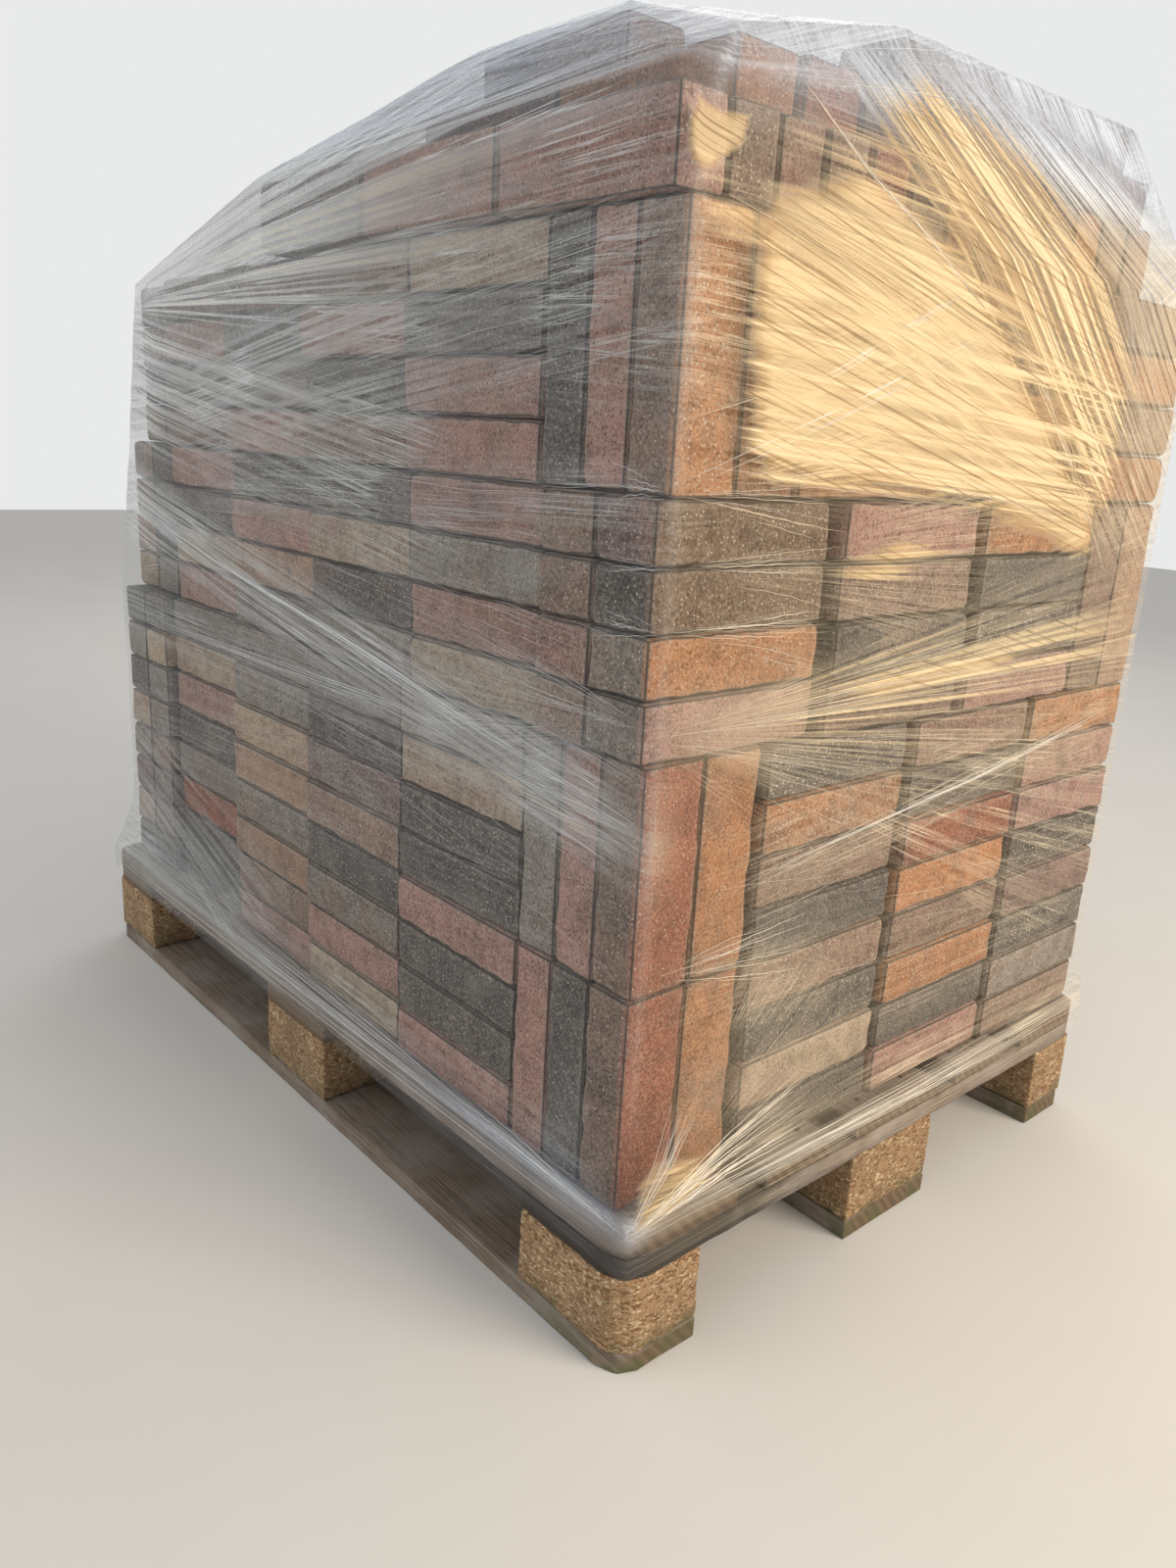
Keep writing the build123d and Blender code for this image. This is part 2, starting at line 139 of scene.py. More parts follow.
class FilmSettings(bpy.types.PropertyGroup):
    clearance: length(3.5, "Clearance", "Room between the film and the bricks")
    corner_radius: length(9, "Corner radius", "How tightly the film goes round a corner")
    wrinkle: length(1.6, "Wrinkle", "Height of the film's wrinkles")
    crease: length(0.33, "Crease", "Half the width of a fine crease")
    milk: colour("#D9DCDC", "Milk", "Colour of the film where it is creased or doubled")
    # Painted sunlight: the warm colour given to the film and its folds on the sunny end.
    sunlit_straw: colour("#F0DCB2", "Straw", "Colour of the folds on the sunny end")
    # Painted reflection of the sky, on the film's top and low beside the near corner.
    sky: colour("#CAD5E6", "Sky", "Colour of the film on top, under the sky")


class StageSettings(bpy.types.PropertyGroup):
    key: number(95.0, "Key light", "Power of the large lamp on the right", unit="POWER")
    fill: number(26.0, "Fill light", "Power of the large lamps on the left and behind", unit="POWER")
    ambient: number(0.62, "Ambient", "Strength of the even light all round")
    floor: colour("#D6D4D0", "Floor", "Pale floor")
    backdrop: colour("#E9EAEA", "Backdrop", "What the camera sees behind the object")


def settings(group):
    """The scene's settings of that name."""
    return getattr(bpy.context.scene, group)


class Value:
    """An output of a node, with which sums are written as they are with numbers."""

    def __init__(self, socket):
        self.socket = socket
        self.tree = socket.id_data

    def __getitem__(self, name):
        """Another output of the same node."""
        return Value(self.socket.node.outputs[name])

    def maths(self, operation, *others):
        """A sum on this value and others."""
        return add_node(self.tree, "ShaderNodeMath", dict(enumerate((self, *others))),
                        operation=operation)

    def __add__(self, other):
        return self.maths("ADD", other)

    def __sub__(self, other):
        return self.maths("SUBTRACT", other)

    def __mul__(self, other):
        return self.maths("MULTIPLY", other)

    def __abs__(self):
        return self.maths("ABSOLUTE")

    def most(self, other):
        """The greater of the two."""
        return self.maths("MAXIMUM", other)

    def ramp(self, low, high, bottom=0.0, top=1.0):
        """The value with low to high made into bottom to top, and kept between them."""
        return add_node(self.tree, "ShaderNodeMapRange",
                        {0: self, 1: low, 2: high, 3: bottom, 4: top})


def set_inputs(node, inputs):
    """Sets a node's inputs, each to a number or colour of its own or to another node's output."""
    for name, value in inputs.items():
        if isinstance(value, Value):
            value.tree.links.new(value.socket, node.inputs[name])
        else:
            node.inputs[name].default_value = value


def add_node(tree, kind, inputs=None, output=0, **setup):
    """Adds one node with its settings and its inputs, and gives one of its outputs."""
    node = tree.nodes.new(kind)
    for name, value in setup.items():
        setattr(node, name, value)
    set_inputs(node, inputs or {})
    return Value(node.outputs[output]) if node.outputs else None


def across(size_mm):
    """The texture scale, for coordinates in metres, that gives details of that size."""
    return 1000.0 / size_mm


def blend(amount, first, second, mode="MIX"):
    """One colour with another laid over it. Each is an output, a hex code or linear numbers."""
    codes = [linear(c) if isinstance(c, str) else c for c in (first, second)]
    first, second = (c if isinstance(c, Value) else (*c, 1.0) for c in codes)
    return add_node(amount.tree, "ShaderNodeMix", {0: amount, 6: first, 7: second}, 2,
                    data_type="RGBA", blend_type=mode)


def layers(ground, *coats):
    """A colour with others laid over it in turn, each given by how much of it shows."""
    for amount, shade, *mode in coats:
        ground = blend(amount, ground, shade, *mode)
    return ground


def noise(place, size_mm, detail=3.0, roughness=0.55, flat=False):
    """Smooth random values with details of that size, flat for places on a UV map."""
    return add_node(place.tree, "ShaderNodeTexNoise", {
        "Vector": place, "Scale": across(size_mm), "Detail": detail, "Roughness": roughness},
        noise_dimensions="2D" if flat else "3D")


def voronoi(place, size_mm, feature="F1"):
    """Cells of that size: the distance from their middles or their edges, and their colours."""
    return add_node(place.tree, "ShaderNodeTexVoronoi", {"Vector": place, "Scale": across(size_mm)},
                    feature=feature)


def mapped(place, scale, kind="POINT", **others):
    """Places stretched along their axes, and moved or turned too."""
    return add_node(place.tree, "ShaderNodeMapping", {"Vector": place, "Scale": scale, **others},
                    vector_type=kind)


def attribute(tree, name, output="Fac"):
    """A value that the piece's mesh carries."""
    return add_node(tree, "ShaderNodeAttribute", output=output, attribute_name=name)


def uv_map(tree, name):
    """A flat place that the piece's mesh carries."""
    return add_node(tree, "ShaderNodeUVMap", uv_map=name)


def object_place(tree):
    """Where each point is, in the piece's own coordinates."""
    return add_node(tree, "ShaderNodeTexCoord", output="Object")


def new_material(name):
    """A material with one principled shader, and its tree."""
    material = bpy.data.materials.new(name)
    material.use_nodes = True
    return material, material.node_tree


def coat(material, shade, roughness, relief=None, depth_mm=0.0, **others):
    """Sets a material's shader: its colour, roughness, fine relief of that depth, and the rest."""
    tree = material.node_tree
    inputs = {"Base Color": shade, "Roughness": roughness, **others}
    if relief:
        inputs["Normal"] = add_node(tree, "ShaderNodeBump", {
            "Height": relief, "Distance": depth_mm * MM})
    set_inputs(tree.nodes["Principled BSDF"], inputs)
    return material


def tumbled_concrete():
    """Pressed concrete paver, coloured in its face mix and tumbled. Matt, with pale and dark grains of 1
    to 3 mm in a cloudy ground, open pores, and dusty edges, and darkened almost to black right at every
    edge as painted shade of the gaps between bricks."""
    dust = settings("bricks").dust
    material, tree = new_material("tumbled concrete")
    place = object_place(tree)
    arris = attribute(tree, "arris")
    sandy = noise(place, 2.6, 3.0, 0.75)
    grains = voronoi(place, 3.4)
    round_grain = grains.ramp(0.34, 0.24)
    picked = add_node(tree, "ShaderNodeSeparateColor", {0: grains["Color"]})
    pores = noise(place, 2.0, 3.0, 0.8).ramp(0.35, 0.26)
    ground = layers(
        attribute(tree, "shade", "Color"),
        (noise(place, 75, 2.0, 0.6).ramp(0.50, 0.72, 0.0, 0.6),
         attribute(tree, "second_shade", "Color")),
        (noise(place, 22, 4.0, 0.65).ramp(0.42, 0.68), "#CFCAC4", "MULTIPLY"),
        (sandy.ramp(0.52, 0.66, 0.0, 0.42), dust),
        (sandy.ramp(0.48, 0.36), "#A39B94", "MULTIPLY"),
        (round_grain * picked[0].ramp(0.80, 0.86, 0.0, 0.85), "#C2B6A5"),
        (round_grain * picked[1].ramp(0.84, 0.90, 0.0, 0.65), "#2E2A27"),
        (pores * 0.55, "#2A2522"),
        (arris * noise(place, 6).ramp(0.38, 0.62, 0.0, 0.42), dust),
        # Painted shade: right at every edge the brick is darkened almost to black, for the shade in the
        # gaps between bricks.
        (arris.ramp(0.62, 0.92, 0.0, 0.88), "#2B2622"))
    relief = noise(place, 2.4, 4.0, 0.75) + round_grain * 0.25 - pores * 0.5
    return coat(material, ground, 0.93, relief, 1.1)


def weathered_pine():
    """Rough-sawn pine, left outdoors. Matt grey-brown with dark summer grain every 3 to 8 mm, a
    silver skin, drying cracks, moss low down and mould at the wet corner."""
    s = settings("pallet")
    material, tree = new_material("weathered pine")
    place, grain = object_place(tree), uv_map(tree, "grain")
    drawn = mapped(grain, (0.03, 1.0, 1.0))
    lines = noise(drawn, 4.0, 4.0, 0.75)
    fibres = noise(drawn, 1.3, 2.0, 0.7)
    rings = add_node(tree, "ShaderNodeTexWave", {
        "Vector": grain, "Scale": across(28), "Distortion": 3.0, "Detail": 2.0}, "Fac",
        wave_type="RINGS", rings_direction="SPHERICAL")
    axes = add_node(tree, "ShaderNodeSeparateXYZ", {0: place})
    height = axes["Z"]
    by_the_end = height.ramp(0.034, 0.004) * axes["X"].ramp(0.44, 0.56)
    from_corner = add_node(tree, "ShaderNodeVectorMath", {0: place, 1: (*NEAR_CORNER, 0.11)}, 1,
                           operation="DISTANCE")
    wet = (from_corner + noise(place, 45, 4.0) * 0.22).ramp(0.44, 0.24, 0.0, 0.88)
    below_film = height.ramp(0.060, 0.095) * height.ramp(0.131, 0.121, 0.25, 1.0)
    ground = layers(
        blend(lines.ramp(0.38, 0.62), s.pine_dark, s.pine),
        (noise(drawn, 9, 3.0, 0.6).ramp(0.40, 0.60, 0.0, 0.45), "#84705C"),
        (noise(place, 90).ramp(0.40, 0.62, 0.0, 0.6), s.silver),
        (fibres.ramp(0.45, 0.30, 0.0, 0.5), "#3A2F25"),
        (attribute(tree, "end_grain"), blend(rings, "#77634D", "#5F4E3B")),
        (by_the_end * noise(place, 30, 4.0).ramp(0.42, 0.58, 0.0, 0.8), s.moss),
        (wet * below_film, s.mould))
    return coat(material, ground, 0.88, lines + fibres, 0.9)


def pressed_chips():
    """Block pressed from wood chips and glue. Flat chips of 3 to 9 mm, tan to bark brown, with a
    rough matt face and dark gaps between chips."""
    s = settings("pallet")
    material, tree = new_material("pressed wood chips")
    place = object_place(tree)
    moved = add_node(tree, "ShaderNodeVectorMath", {
        0: noise(place, 6, 2.0), 1: (0.004, 0.004, 0.002), 2: place}, operation="MULTIPLY_ADD")
    flat = mapped(moved, (1.0, 1.0, 1.9))
    picked = add_node(tree, "ShaderNodeSeparateColor", {0: voronoi(flat, 4.4)["Color"]})
    gap = voronoi(flat, 4.4, "DISTANCE_TO_EDGE").ramp(0.05, 0.0)
    crumbs = noise(place, 1.8, 3.0, 0.75)
    low = add_node(tree, "ShaderNodeSeparateXYZ", {0: place}, "Z").ramp(0.046, 0.022)
    ground = layers(
        blend(picked[0].ramp(0.15, 0.95), s.chips, "#A8835A"),
        (picked[1].ramp(0.80, 0.84), s.chips_dark),
        (picked[2].ramp(0.84, 0.88), "#D8BE97"),
        (crumbs.ramp(0.46, 0.34, 0.0, 0.75), "#7C5C3D"),
        (gap * 0.40, "#6B4D30"),
        (noise(place, 60).ramp(0.45, 0.70, 0.0, 0.45), "#7E6A50"),
        (low * noise(place, 18, 4.0).ramp(0.42, 0.58, 0.0, 0.7), s.moss))
    return coat(material, ground, 0.86, picked[2] * 0.7 + crumbs - gap, 1.4)


def rusted_steel():
    """Wire nail with a flat head, rusted brown. Dull, with a rough scaly skin."""
    material, tree = new_material("rusted steel")
    scale = noise(object_place(tree), 1.5)
    rust = blend(scale.ramp(0.35, 0.65), settings("pallet").rust, "#37302C")
    return coat(material, rust, 0.62, scale, 0.2, Metallic=0.35)


def stretch_film():
    """Blown polyethylene film, pulled tight in several layers. Clear and glossy, brushed with fine lines
    along the way it is pulled, painted bright as glints, and milky where it is crinkled or doubled. Over
    the sunny end it carries a painted blaze of sunlight with painted shadows of creases."""
    material, tree = new_material("polyethylene stretch film")
    run, haze, sun = uv_map(tree, "wrap"), attribute(tree, "haze"), attribute(tree, "sun")
    # Fine threads and broader brush marks run along each way the film is pulled. The stronger shows. The
    # threads are real creases, painted bright and partly opaque as painted glints of light on them.
    lines = brushed = 0.0
    for channel in CHANNELS:
        pull = attribute(tree, f"pull_{channel}")
        drawn = mapped(uv_map(tree, f"flow_{channel}"), (0.007, 1.0, 1.0), Location=(channel, 0.0, 0.0))
        threads = noise(drawn, 7.0, 4.0, 0.72, flat=True)
        lines = (abs(threads - 0.5).ramp(0.026, 0.003) * pull).most(lines)
        brushed = (threads.ramp(0.40, 0.64) * pull).most(brushed)
    patches = noise(mapped(run, (0.35, 1.0, 1.0)), 60, 1.0, flat=True)
    creased = noise(run, 16, 3.0, flat=True) - 0.5
    crinkle = abs(creased).ramp(0.024, 0.003) * haze.ramp(0.45, 0.85, 0.0, 0.5)
    lines = (lines * patches.ramp(0.40, 0.60, 0.15, 1.0)).most(crinkle)

    # The haze and its painted glints, the brush marks and the threads cover what is behind them, and the
    # painted blaze of sunlight most of all.
    veil = haze * (brushed * 0.95 + 0.42)
    glare = ((brushed - 0.5) * 0.70 + sun).ramp(0.18, 0.86, 0.0, 0.88)
    alpha = (veil * 0.70 + brushed * 0.09 + lines * 0.55 + 0.02).most(glare)
    # The painted blaze of sunlight is straw to gold, with painted shadows of creases in it: dark lines
    # which fall slowly along the wrap.
    slanted = mapped(run, (80.0, 1.0, 1.0), "TEXTURE", Rotation=(0.0, 0.0, -0.24))
    combed = noise(slanted, 3.4, 3.0, 0.7, flat=True)
    even = brushed.most(sun.ramp(0.70, 1.00, 0.0, 0.55))
    blaze = layers(
        blend(even, "#D3B481", settings("film").sunlit_straw),
        (combed.ramp(0.46, 0.33, 0.0, 0.75), "#927449"),
        (lines * 0.75, "#9A7B50"))
    shade = blend(glare.ramp(0.10, 0.50), attribute(tree, "tint", "Color"), blaze)
    return coat(material, shade, 0.22, creased, 1.0, Alpha=alpha.maths("MINIMUM", 0.95))


def creased_film():
    """The same film where it has folded on itself into a thread, bright and glossy."""
    material, tree = new_material("folded polyethylene film")
    relief = noise(object_place(tree), 9, 2.0)
    return coat(material, attribute(tree, "tint", "Color"), 0.22, relief, 0.4)


def plain_core():
    """The concrete of the hidden bricks, of which only a dark line shows between the others."""
    material, tree = new_material("concrete in shadow")
    return coat(material, blend(noise(object_place(tree), 25), "#57504A", "#3B3633"), 0.95)


def pale_screed():
    """Pale matt floor, with a faint trowelled cloudiness."""
    material, tree = new_material("pale screed")
    clouds = noise(object_place(tree), 300, 4.0)
    return coat(material, blend(clouds, settings("stage").floor, "#CFCDC8"), 0.9)


def fade(value, low, high):
    """Runs smoothly from 0 at low to 1 at high."""
    t = np.clip((value - low) / (high - low), 0, 1)
    return t * t * (3 - 2 * t)


def within(value, low, high, soft):
    """1 between two limits and 0 outside them, with soft ends."""
    return fade(value, low - soft, low + soft) * (1 - fade(value, high - soft, high + soft))


def bell(value, middle, width):
    """1 at the middle, and less and less to either side of it."""
    return np.exp(-((value - middle) / width) ** 2)


def random_lattice(cells, seed):
    """A random number from -1 to 1 for each whole-number cell, the same on every run."""
    mixed = cells.astype(np.uint64) * np.array([73856093, 19349663, 83492791], np.uint64)
    number = mixed[:, 0] ^ mixed[:, 1] ^ mixed[:, 2] ^ np.uint64(seed * 2654435761 + 97)
    number ^= number >> np.uint64(29)
    number *= np.uint64(0xBF58476D1CE4E5B9)
    number ^= number >> np.uint64(32)
    return (number & np.uint64(0xFFFF)).astype(float) / 32767.5 - 1.0


def unevenness(points, size, seed):
    """Smooth random values from -1 to 1 over points, changing over about that size."""
    place = np.asarray(points, float) / size + 1000.0
    cells = np.floor(place).astype(np.int64)
    part = place - cells
    part = part * part * (3 - 2 * part)
    total = np.zeros(len(place))
    for corner in itertools.product((0, 1), repeat=3):
        weight = np.prod(np.where(np.array(corner), part, 1 - part), axis=1)
        total += weight * random_lattice(cells + np.array(corner), seed)
    return total


@functools.cache
def surface_lattice(counts):
    """The whole-number points on the outside of a block of cells, and the quads between them."""
    index, quads = {}, []
    for place in itertools.product(*(range(n + 1) for n in counts)):
        if any(p in (0, n) for p, n in zip(place, counts)):
            index[place] = len(index)
    for axis in range(3):
        u_axis, v_axis = (axis + 1) % 3, (axis + 2) % 3
        for side in (0, counts[axis]):
            for u, v in itertools.product(range(counts[u_axis]), range(counts[v_axis])):
                corners = []
                for du, dv in ((0, 0), (1, 0), (1, 1), (0, 1)):
                    place = [0, 0, 0]
                    place[axis], place[u_axis], place[v_axis] = side, u + du, v + dv
                    corners.append(index[tuple(place)])
                quads.append(corners if side else corners[::-1])
    return np.array(list(index)), np.array(quads)


# The sizes over which the wear of an edge comes and goes, and those of the dents in a face.
WEAR_SIZES = (17 * MM, 9 * MM)
DENT_SIZES = (14 * MM, 6 * MM)
# The least rounding of an edge, and the most, as a share of the strip along it that can be rounded.
LEAST_ROUNDING = 0.4 * MM
MOST_ROUNDING = 1.28


def worn_block(low, high, edge, wear, pock, step, seed, ease=8 * MM):
    """A closed block with rounded, unevenly worn edges and slightly dented faces. Gives its points,
    quads and how near each point is to an edge. Its faces have a point every step, and ease is the
    strip along an edge that can be rounded."""
    low, high = np.array(low), np.array(high)
    middle, half = (low + high) / 2, (high - low) / 2
    stations = []
    for size in high - low:
        inner = max(1, round((size - 2 * ease) / step))
        between = np.linspace(ease, size - ease, inner + 1)
        stations.append(np.concatenate(([0, 0.32 * ease], between, [size - 0.32 * ease, size])))
    places, quads = surface_lattice(tuple(len(s) - 1 for s in stations))
    local = np.stack([stations[axis][places[:, axis]] for axis in range(3)], axis=1) - half
    world = local + middle

    to_side = np.sort(half - np.abs(local), axis=1)
    nearness = np.clip(1 - to_side[:, 1] / ease, 0, 1)
    radius = edge * (1 + wear * unevenness(world, WEAR_SIZES[0], seed))
    radius += edge * wear * 0.9 * np.clip(unevenness(world, WEAR_SIZES[1], seed + 5), 0.25, 1)
    radius = np.clip(radius, LEAST_ROUNDING, MOST_ROUNDING * ease)[:, None]
    core = np.clip(local, -(half - radius), half - radius)
    arm = local - core
    reach = np.linalg.norm(arm, axis=1, keepdims=True)
    outward = arm / np.maximum(reach, 1e-9)
    dents = unevenness(world, DENT_SIZES[0], seed + 1)
    dents += 0.6 * unevenness(world, DENT_SIZES[1], seed + 2)
    local = core + outward * np.minimum(reach, radius)
    local -= outward * (pock * (0.6 - 0.6 * dents))[:, None]
    return local + middle, quads, nearness


def build_object(name, points, faces, material, edges=(), **values):
    """A new smooth piece from points, faces and lines, with a number or a colour for each point."""
    mesh = bpy.data.meshes.new(name)
    mesh.from_pydata(np.asarray(points).tolist(), edges, [tuple(map(int, face)) for face in faces])
    for key, value in values.items():
        value = np.asarray(value, np.float32)
        kind, field = ("FLOAT", "value") if value.ndim == 1 else ("FLOAT_COLOR", "color")
        mesh.attributes.new(key, kind, "POINT").data.foreach_set(field, value.ravel())
    mesh.polygons.foreach_set("use_smooth", [True] * len(mesh.polygons))
    mesh.materials.append(material)
    mesh.update()
    piece = bpy.data.objects.new(name, mesh)
    bpy.context.scene.collection.objects.link(piece)
    return piece


def add_uv(piece, name, coordinates):
    """A UV map from one pair of coordinates for each point."""
    mesh = piece.data
    layer = mesh.uv_layers.new(name=name)
    corner_points = np.zeros(len(mesh.loops), np.int32)
    mesh.loops.foreach_get("vertex_index", corner_points)
    layer.data.foreach_set("uv", np.asarray(coordinates, np.float32)[corner_points].ravel())


def grow(piece, name, material, numbers, shape):
    """Runs geometry nodes on a piece, and keeps the plain mesh that they make. The shape is a
    function that adds the nodes between the group's input and the real geometry."""
    tree = bpy.data.node_groups.new(name, "GeometryNodeTree")
    kinds = {"Geometry": "NodeSocketGeometry", **dict.fromkeys(numbers, "NodeSocketFloat")}
    sockets = {key: tree.interface.new_socket(key, in_out="INPUT", socket_type=kind).identifier
               for key, kind in kinds.items()}
    tree.interface.new_socket("Geometry", in_out="OUTPUT", socket_type="NodeSocketGeometry")
    made = shape(add_node(tree, "NodeGroupInput"))
    real = add_node(tree, "GeometryNodeRealizeInstances", {0: made})
    coated = add_node(tree, "GeometryNodeSetMaterial", {"Geometry": real, "Material": material})
    add_node(tree, "NodeGroupOutput", {"Geometry": coated})

    modifier = piece.modifiers.new(name, "NODES")
    modifier.node_group = tree
    for key, value in numbers.items():
        modifier[sockets[key]] = value
    bpy.context.view_layer.update()
    graph = bpy.context.evaluated_depsgraph_get()
    mesh = bpy.data.meshes.new_from_object(piece.evaluated_get(graph), depsgraph=graph)
    piece.modifiers.remove(modifier)
    old, piece.data = piece.data, mesh
    mesh.name = piece.name
    bpy.data.meshes.remove(old)


@functools.cache
def solids_of(node):
    """The lowest and highest corner of each separate solid of a CAD node."""
    merged = bmesh.new()
    merged.from_mesh(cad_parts[node].data)
    bmesh.ops.remove_doubles(merged, verts=merged.verts, dist=1e-6)
    seen, boxes = set(), []
    for start in merged.verts:
        if start in seen:
            continue
        seen.add(start)
        waiting, corners = [start], []
        while waiting:
            vertex = waiting.pop()
            corners.append(tuple(vertex.co))
            joined = {edge.other_vert(vertex) for edge in vertex.link_edges} - seen
            seen |= joined
            waiting.extend(joined)
        boxes.append((np.min(corners, axis=0), np.max(corners, axis=0)))
    merged.free()
    return boxes


# Which brick is which, as someone laying the stack again would write it down. Each column is
# given from its lowest brick up, and the columns from the near corner outwards.
NEAR_SIDE_SHADES = {
    1: ("brown anthracite pink", "pink anthracite anthracite pink", "sand pink grey anthracite",
        "pink brown orange grey", "anthracite anthracite red grey", "anthracite grey grey brown"),
    2: ("brown pink grey", "anthracite anthracite sand grey", "brown plum anthracite grey",
        "orange sand grey grey", "anthracite pink sand grey", "grey grey sand anthracite"),
    3: ("grey grey anthracite plum brown pink brown brown", "sand pink grey pink",
        "grey anthracite sand anthracite", "grey orange pink anthracite",
        "pink sand anthracite pink", "grey anthracite grey anthracite"),
    4: ("brown pink anthracite", "pink pink anthracite sand", "brown anthracite pink brown",
        "pink grey anthracite brown", "brown grey pink brown", "grey brown pink grey"),
}
# On the sunny end the tan brick is given its sunlit copy, as painted sunlight.
NEAR_END_SHADES = {
    1: ("anthracite sand anthracite brown", "pink anthracite amber brown", "brown grey anthracite plum"),
    2: ("anthracite brown amber anthracite", "amber red anthracite brown", "anthracite pink pink amber"),
    3: ("brown anthracite brown pink", "pink anthracite anthracite amber", "red brown"),
    4: ("amber brown anthracite brown", "brown amber brown red", "amber brown amber brown"),
}
SECOND_ROW_SHADES = {1: "amber", 2: "amber", 3: "", 4: "amber"}
# The end faces of the corner bricks, each painted in another colour of its own: painted sunlight on the
# faces towards the sunny end.
SUNLIT_CORNER_FACES = {1: "red", 2: "red", 3: "pink amber umber umber", 4: "amber"}
# How many columns next to the corner share the first line of words.
CORNER_COLUMNS = {1: 3, 2: 3, 3: 2, 4: 3}
TOP_SHADES = "plum brown pink brown plum red brown amber".split()
COMMON_SHADES = "pink anthracite brown grey orange plum sand grey anthracite brown".split()
# The second colour that clouds each brick.
PARTNERS = {"pink": "brown", "red": "plum", "orange": "brown", "amber": "brown", "sand": "pink",
            "brown": "anthracite", "plum": "pink", "grey": "brown", "anthracite": "grey"}


# How far apart the middles of two bricks of one column can be.
SAME_COLUMN = 20 * MM


def columns_of(boxes, axis, outward):
    """Bricks grouped by their place along one axis, each group from its lowest brick up."""
    groups = []
    for box in sorted(boxes, key=lambda b: outward * (b[0][axis] + b[1][axis])):
        middle = (box[0][axis] + box[1][axis]) / 2
        if groups and abs(groups[-1][0] - middle) < SAME_COLUMN:
            groups[-1][1].append(box)
        else:
            groups.append((middle, [box]))
    return [sorted(group, key=lambda b: b[0][2]) for _, group in groups]


def key_of(box):
    """A name for a brick's place, to the millimetre."""
    return tuple(int(round(v * 1000)) for v in (*box[0], *box[1]))


# How far back from the outermost brick the outer face of a brick of the outer row can be, and that
# of a brick at the corner.
OUTER_ROW = 64 * MM
AT_CORNER = 12 * MM


def write_down(shades, columns, words):
    """Notes the shades of some columns of bricks, given as one line of words for each."""
    for column, line in zip(columns, words):
        shades.update(zip(map(key_of, column), line.split()))


def written_shades():
    """The shade of each brick that is written down, and the painted sunlit colour of each end face at
    the near corner, by the brick's place."""
    bricks, sunlit_end_faces = {}, {}
    face_y = min(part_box(f"tier_{tier}_near_side")[0].y for tier in TIERS)
    face_x = max(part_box(f"tier_{tier}_near_end")[1].x for tier in TIERS)
    for tier in TIERS:
        side, end = (solids_of(f"tier_{tier}_near_{part}") for part in ("side", "end"))
        outer_row = [b for b in side if b[0][1] < face_y + OUTER_ROW]
        groups = columns_of(outer_row, 0, -1)
        count = CORNER_COLUMNS[tier]
        corner_bricks = [box for group in groups[:count] for box in group]
        write_down(bricks, [corner_bricks, *groups[count:]], NEAR_SIDE_SHADES[tier])
        outer_row = [b for b in end if b[1][0] > face_x - OUTER_ROW]
        write_down(bricks, columns_of(outer_row, 1, 1), NEAR_END_SHADES[tier])
        second_row = [b for b in side if b[1][0] > face_x - OUTER_ROW and b[0][1] > face_y + 40 * MM]
        write_down(bricks, [second_row[:1]], [SECOND_ROW_SHADES[tier]])
        x, y = max(b[1][0] for b in side), min(b[0][1] for b in side)
        corner = [b for b in side if b[1][0] > x - AT_CORNER and b[0][1] < y + AT_CORNER]
        write_down(sunlit_end_faces, [sorted(corner, key=lambda b: b[0][2])], [SUNLIT_CORNER_FACES[tier]])
    return bricks, sunlit_end_faces


# The distance between points on the faces of a brick whose shade is written down, and of another.
FINE_STEP, COARSE_STEP = 8 * MM, 24 * MM
# How far bricks of one shade differ in tone and in warmth, and how far they are turned in the stack.
TONES, WARMTHS, TURNS = (0.88, 1.12), (0.97, 1.03), (-0.004, 0.004)
PARTNER_CHANCE = 0.7


def lay_bricks(name, nodes, known, sunlit_end_faces, material, seed, common=COMMON_SHADES):
    """One piece with a tumbled brick for each solid of those CAD nodes."""
    s = settings("bricks")
    chance = np.random.default_rng(seed)
    points, faces, count = [], [], 0
    values = {"shade": [], "second_shade": [], "arris": []}
    for low, high in (box for node in nodes for box in solids_of(node)):
        place = key_of((low, high))
        shade = known.get(place, common[chance.integers(len(common))])
        partnered = chance.random() < PARTNER_CHANCE
        second = PARTNERS[shade] if partnered else COMMON_SHADES[chance.integers(8)]
        tone = chance.uniform(*TONES)
        warm = chance.uniform(*WARMTHS)
        step = FINE_STEP if place in known else COARSE_STEP
        mesh, quads, nearness = worn_block(low, high, s.arris, s.wear, s.pocks, step,
                                           int(chance.integers(1, 9999)))
        middle = (low + high) / 2
        turn = Matrix.Rotation(chance.uniform(*TURNS), 3, "Z")
        mesh = (mesh - middle) @ np.array(turn).T + middle
        points.append(mesh)
        faces.append(quads + count)
        values["arris"].append(nearness)
        for key, word in (("shade", shade), ("second_shade", second)):
            value = np.clip(np.array(getattr(s, word)) * (tone * warm, tone, tone / warm), 0, 1)
            painted = np.tile([*value, 1.0], (len(mesh), 1))
            # A corner brick's end face is painted in its own sunlit colour over its last few
            # millimetres, as painted sunlight.
            if place in sunlit_end_faces:
                face = fade(mesh[:, 0], high[0] - 8 * MM, high[0] - 2 * MM)[:, None]
                sunlit_shade = np.array([*getattr(s, sunlit_end_faces[place]), 1.0])
                painted = painted * (1 - face) + sunlit_shade * face
            values[key].append(painted)
        count += len(mesh)
    piece = build_object(name, np.concatenate(points), np.concatenate(faces), material,
                         **{key: np.concatenate(parts) for key, parts in values.items()})
    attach(piece, "root")
    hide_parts(*nodes)


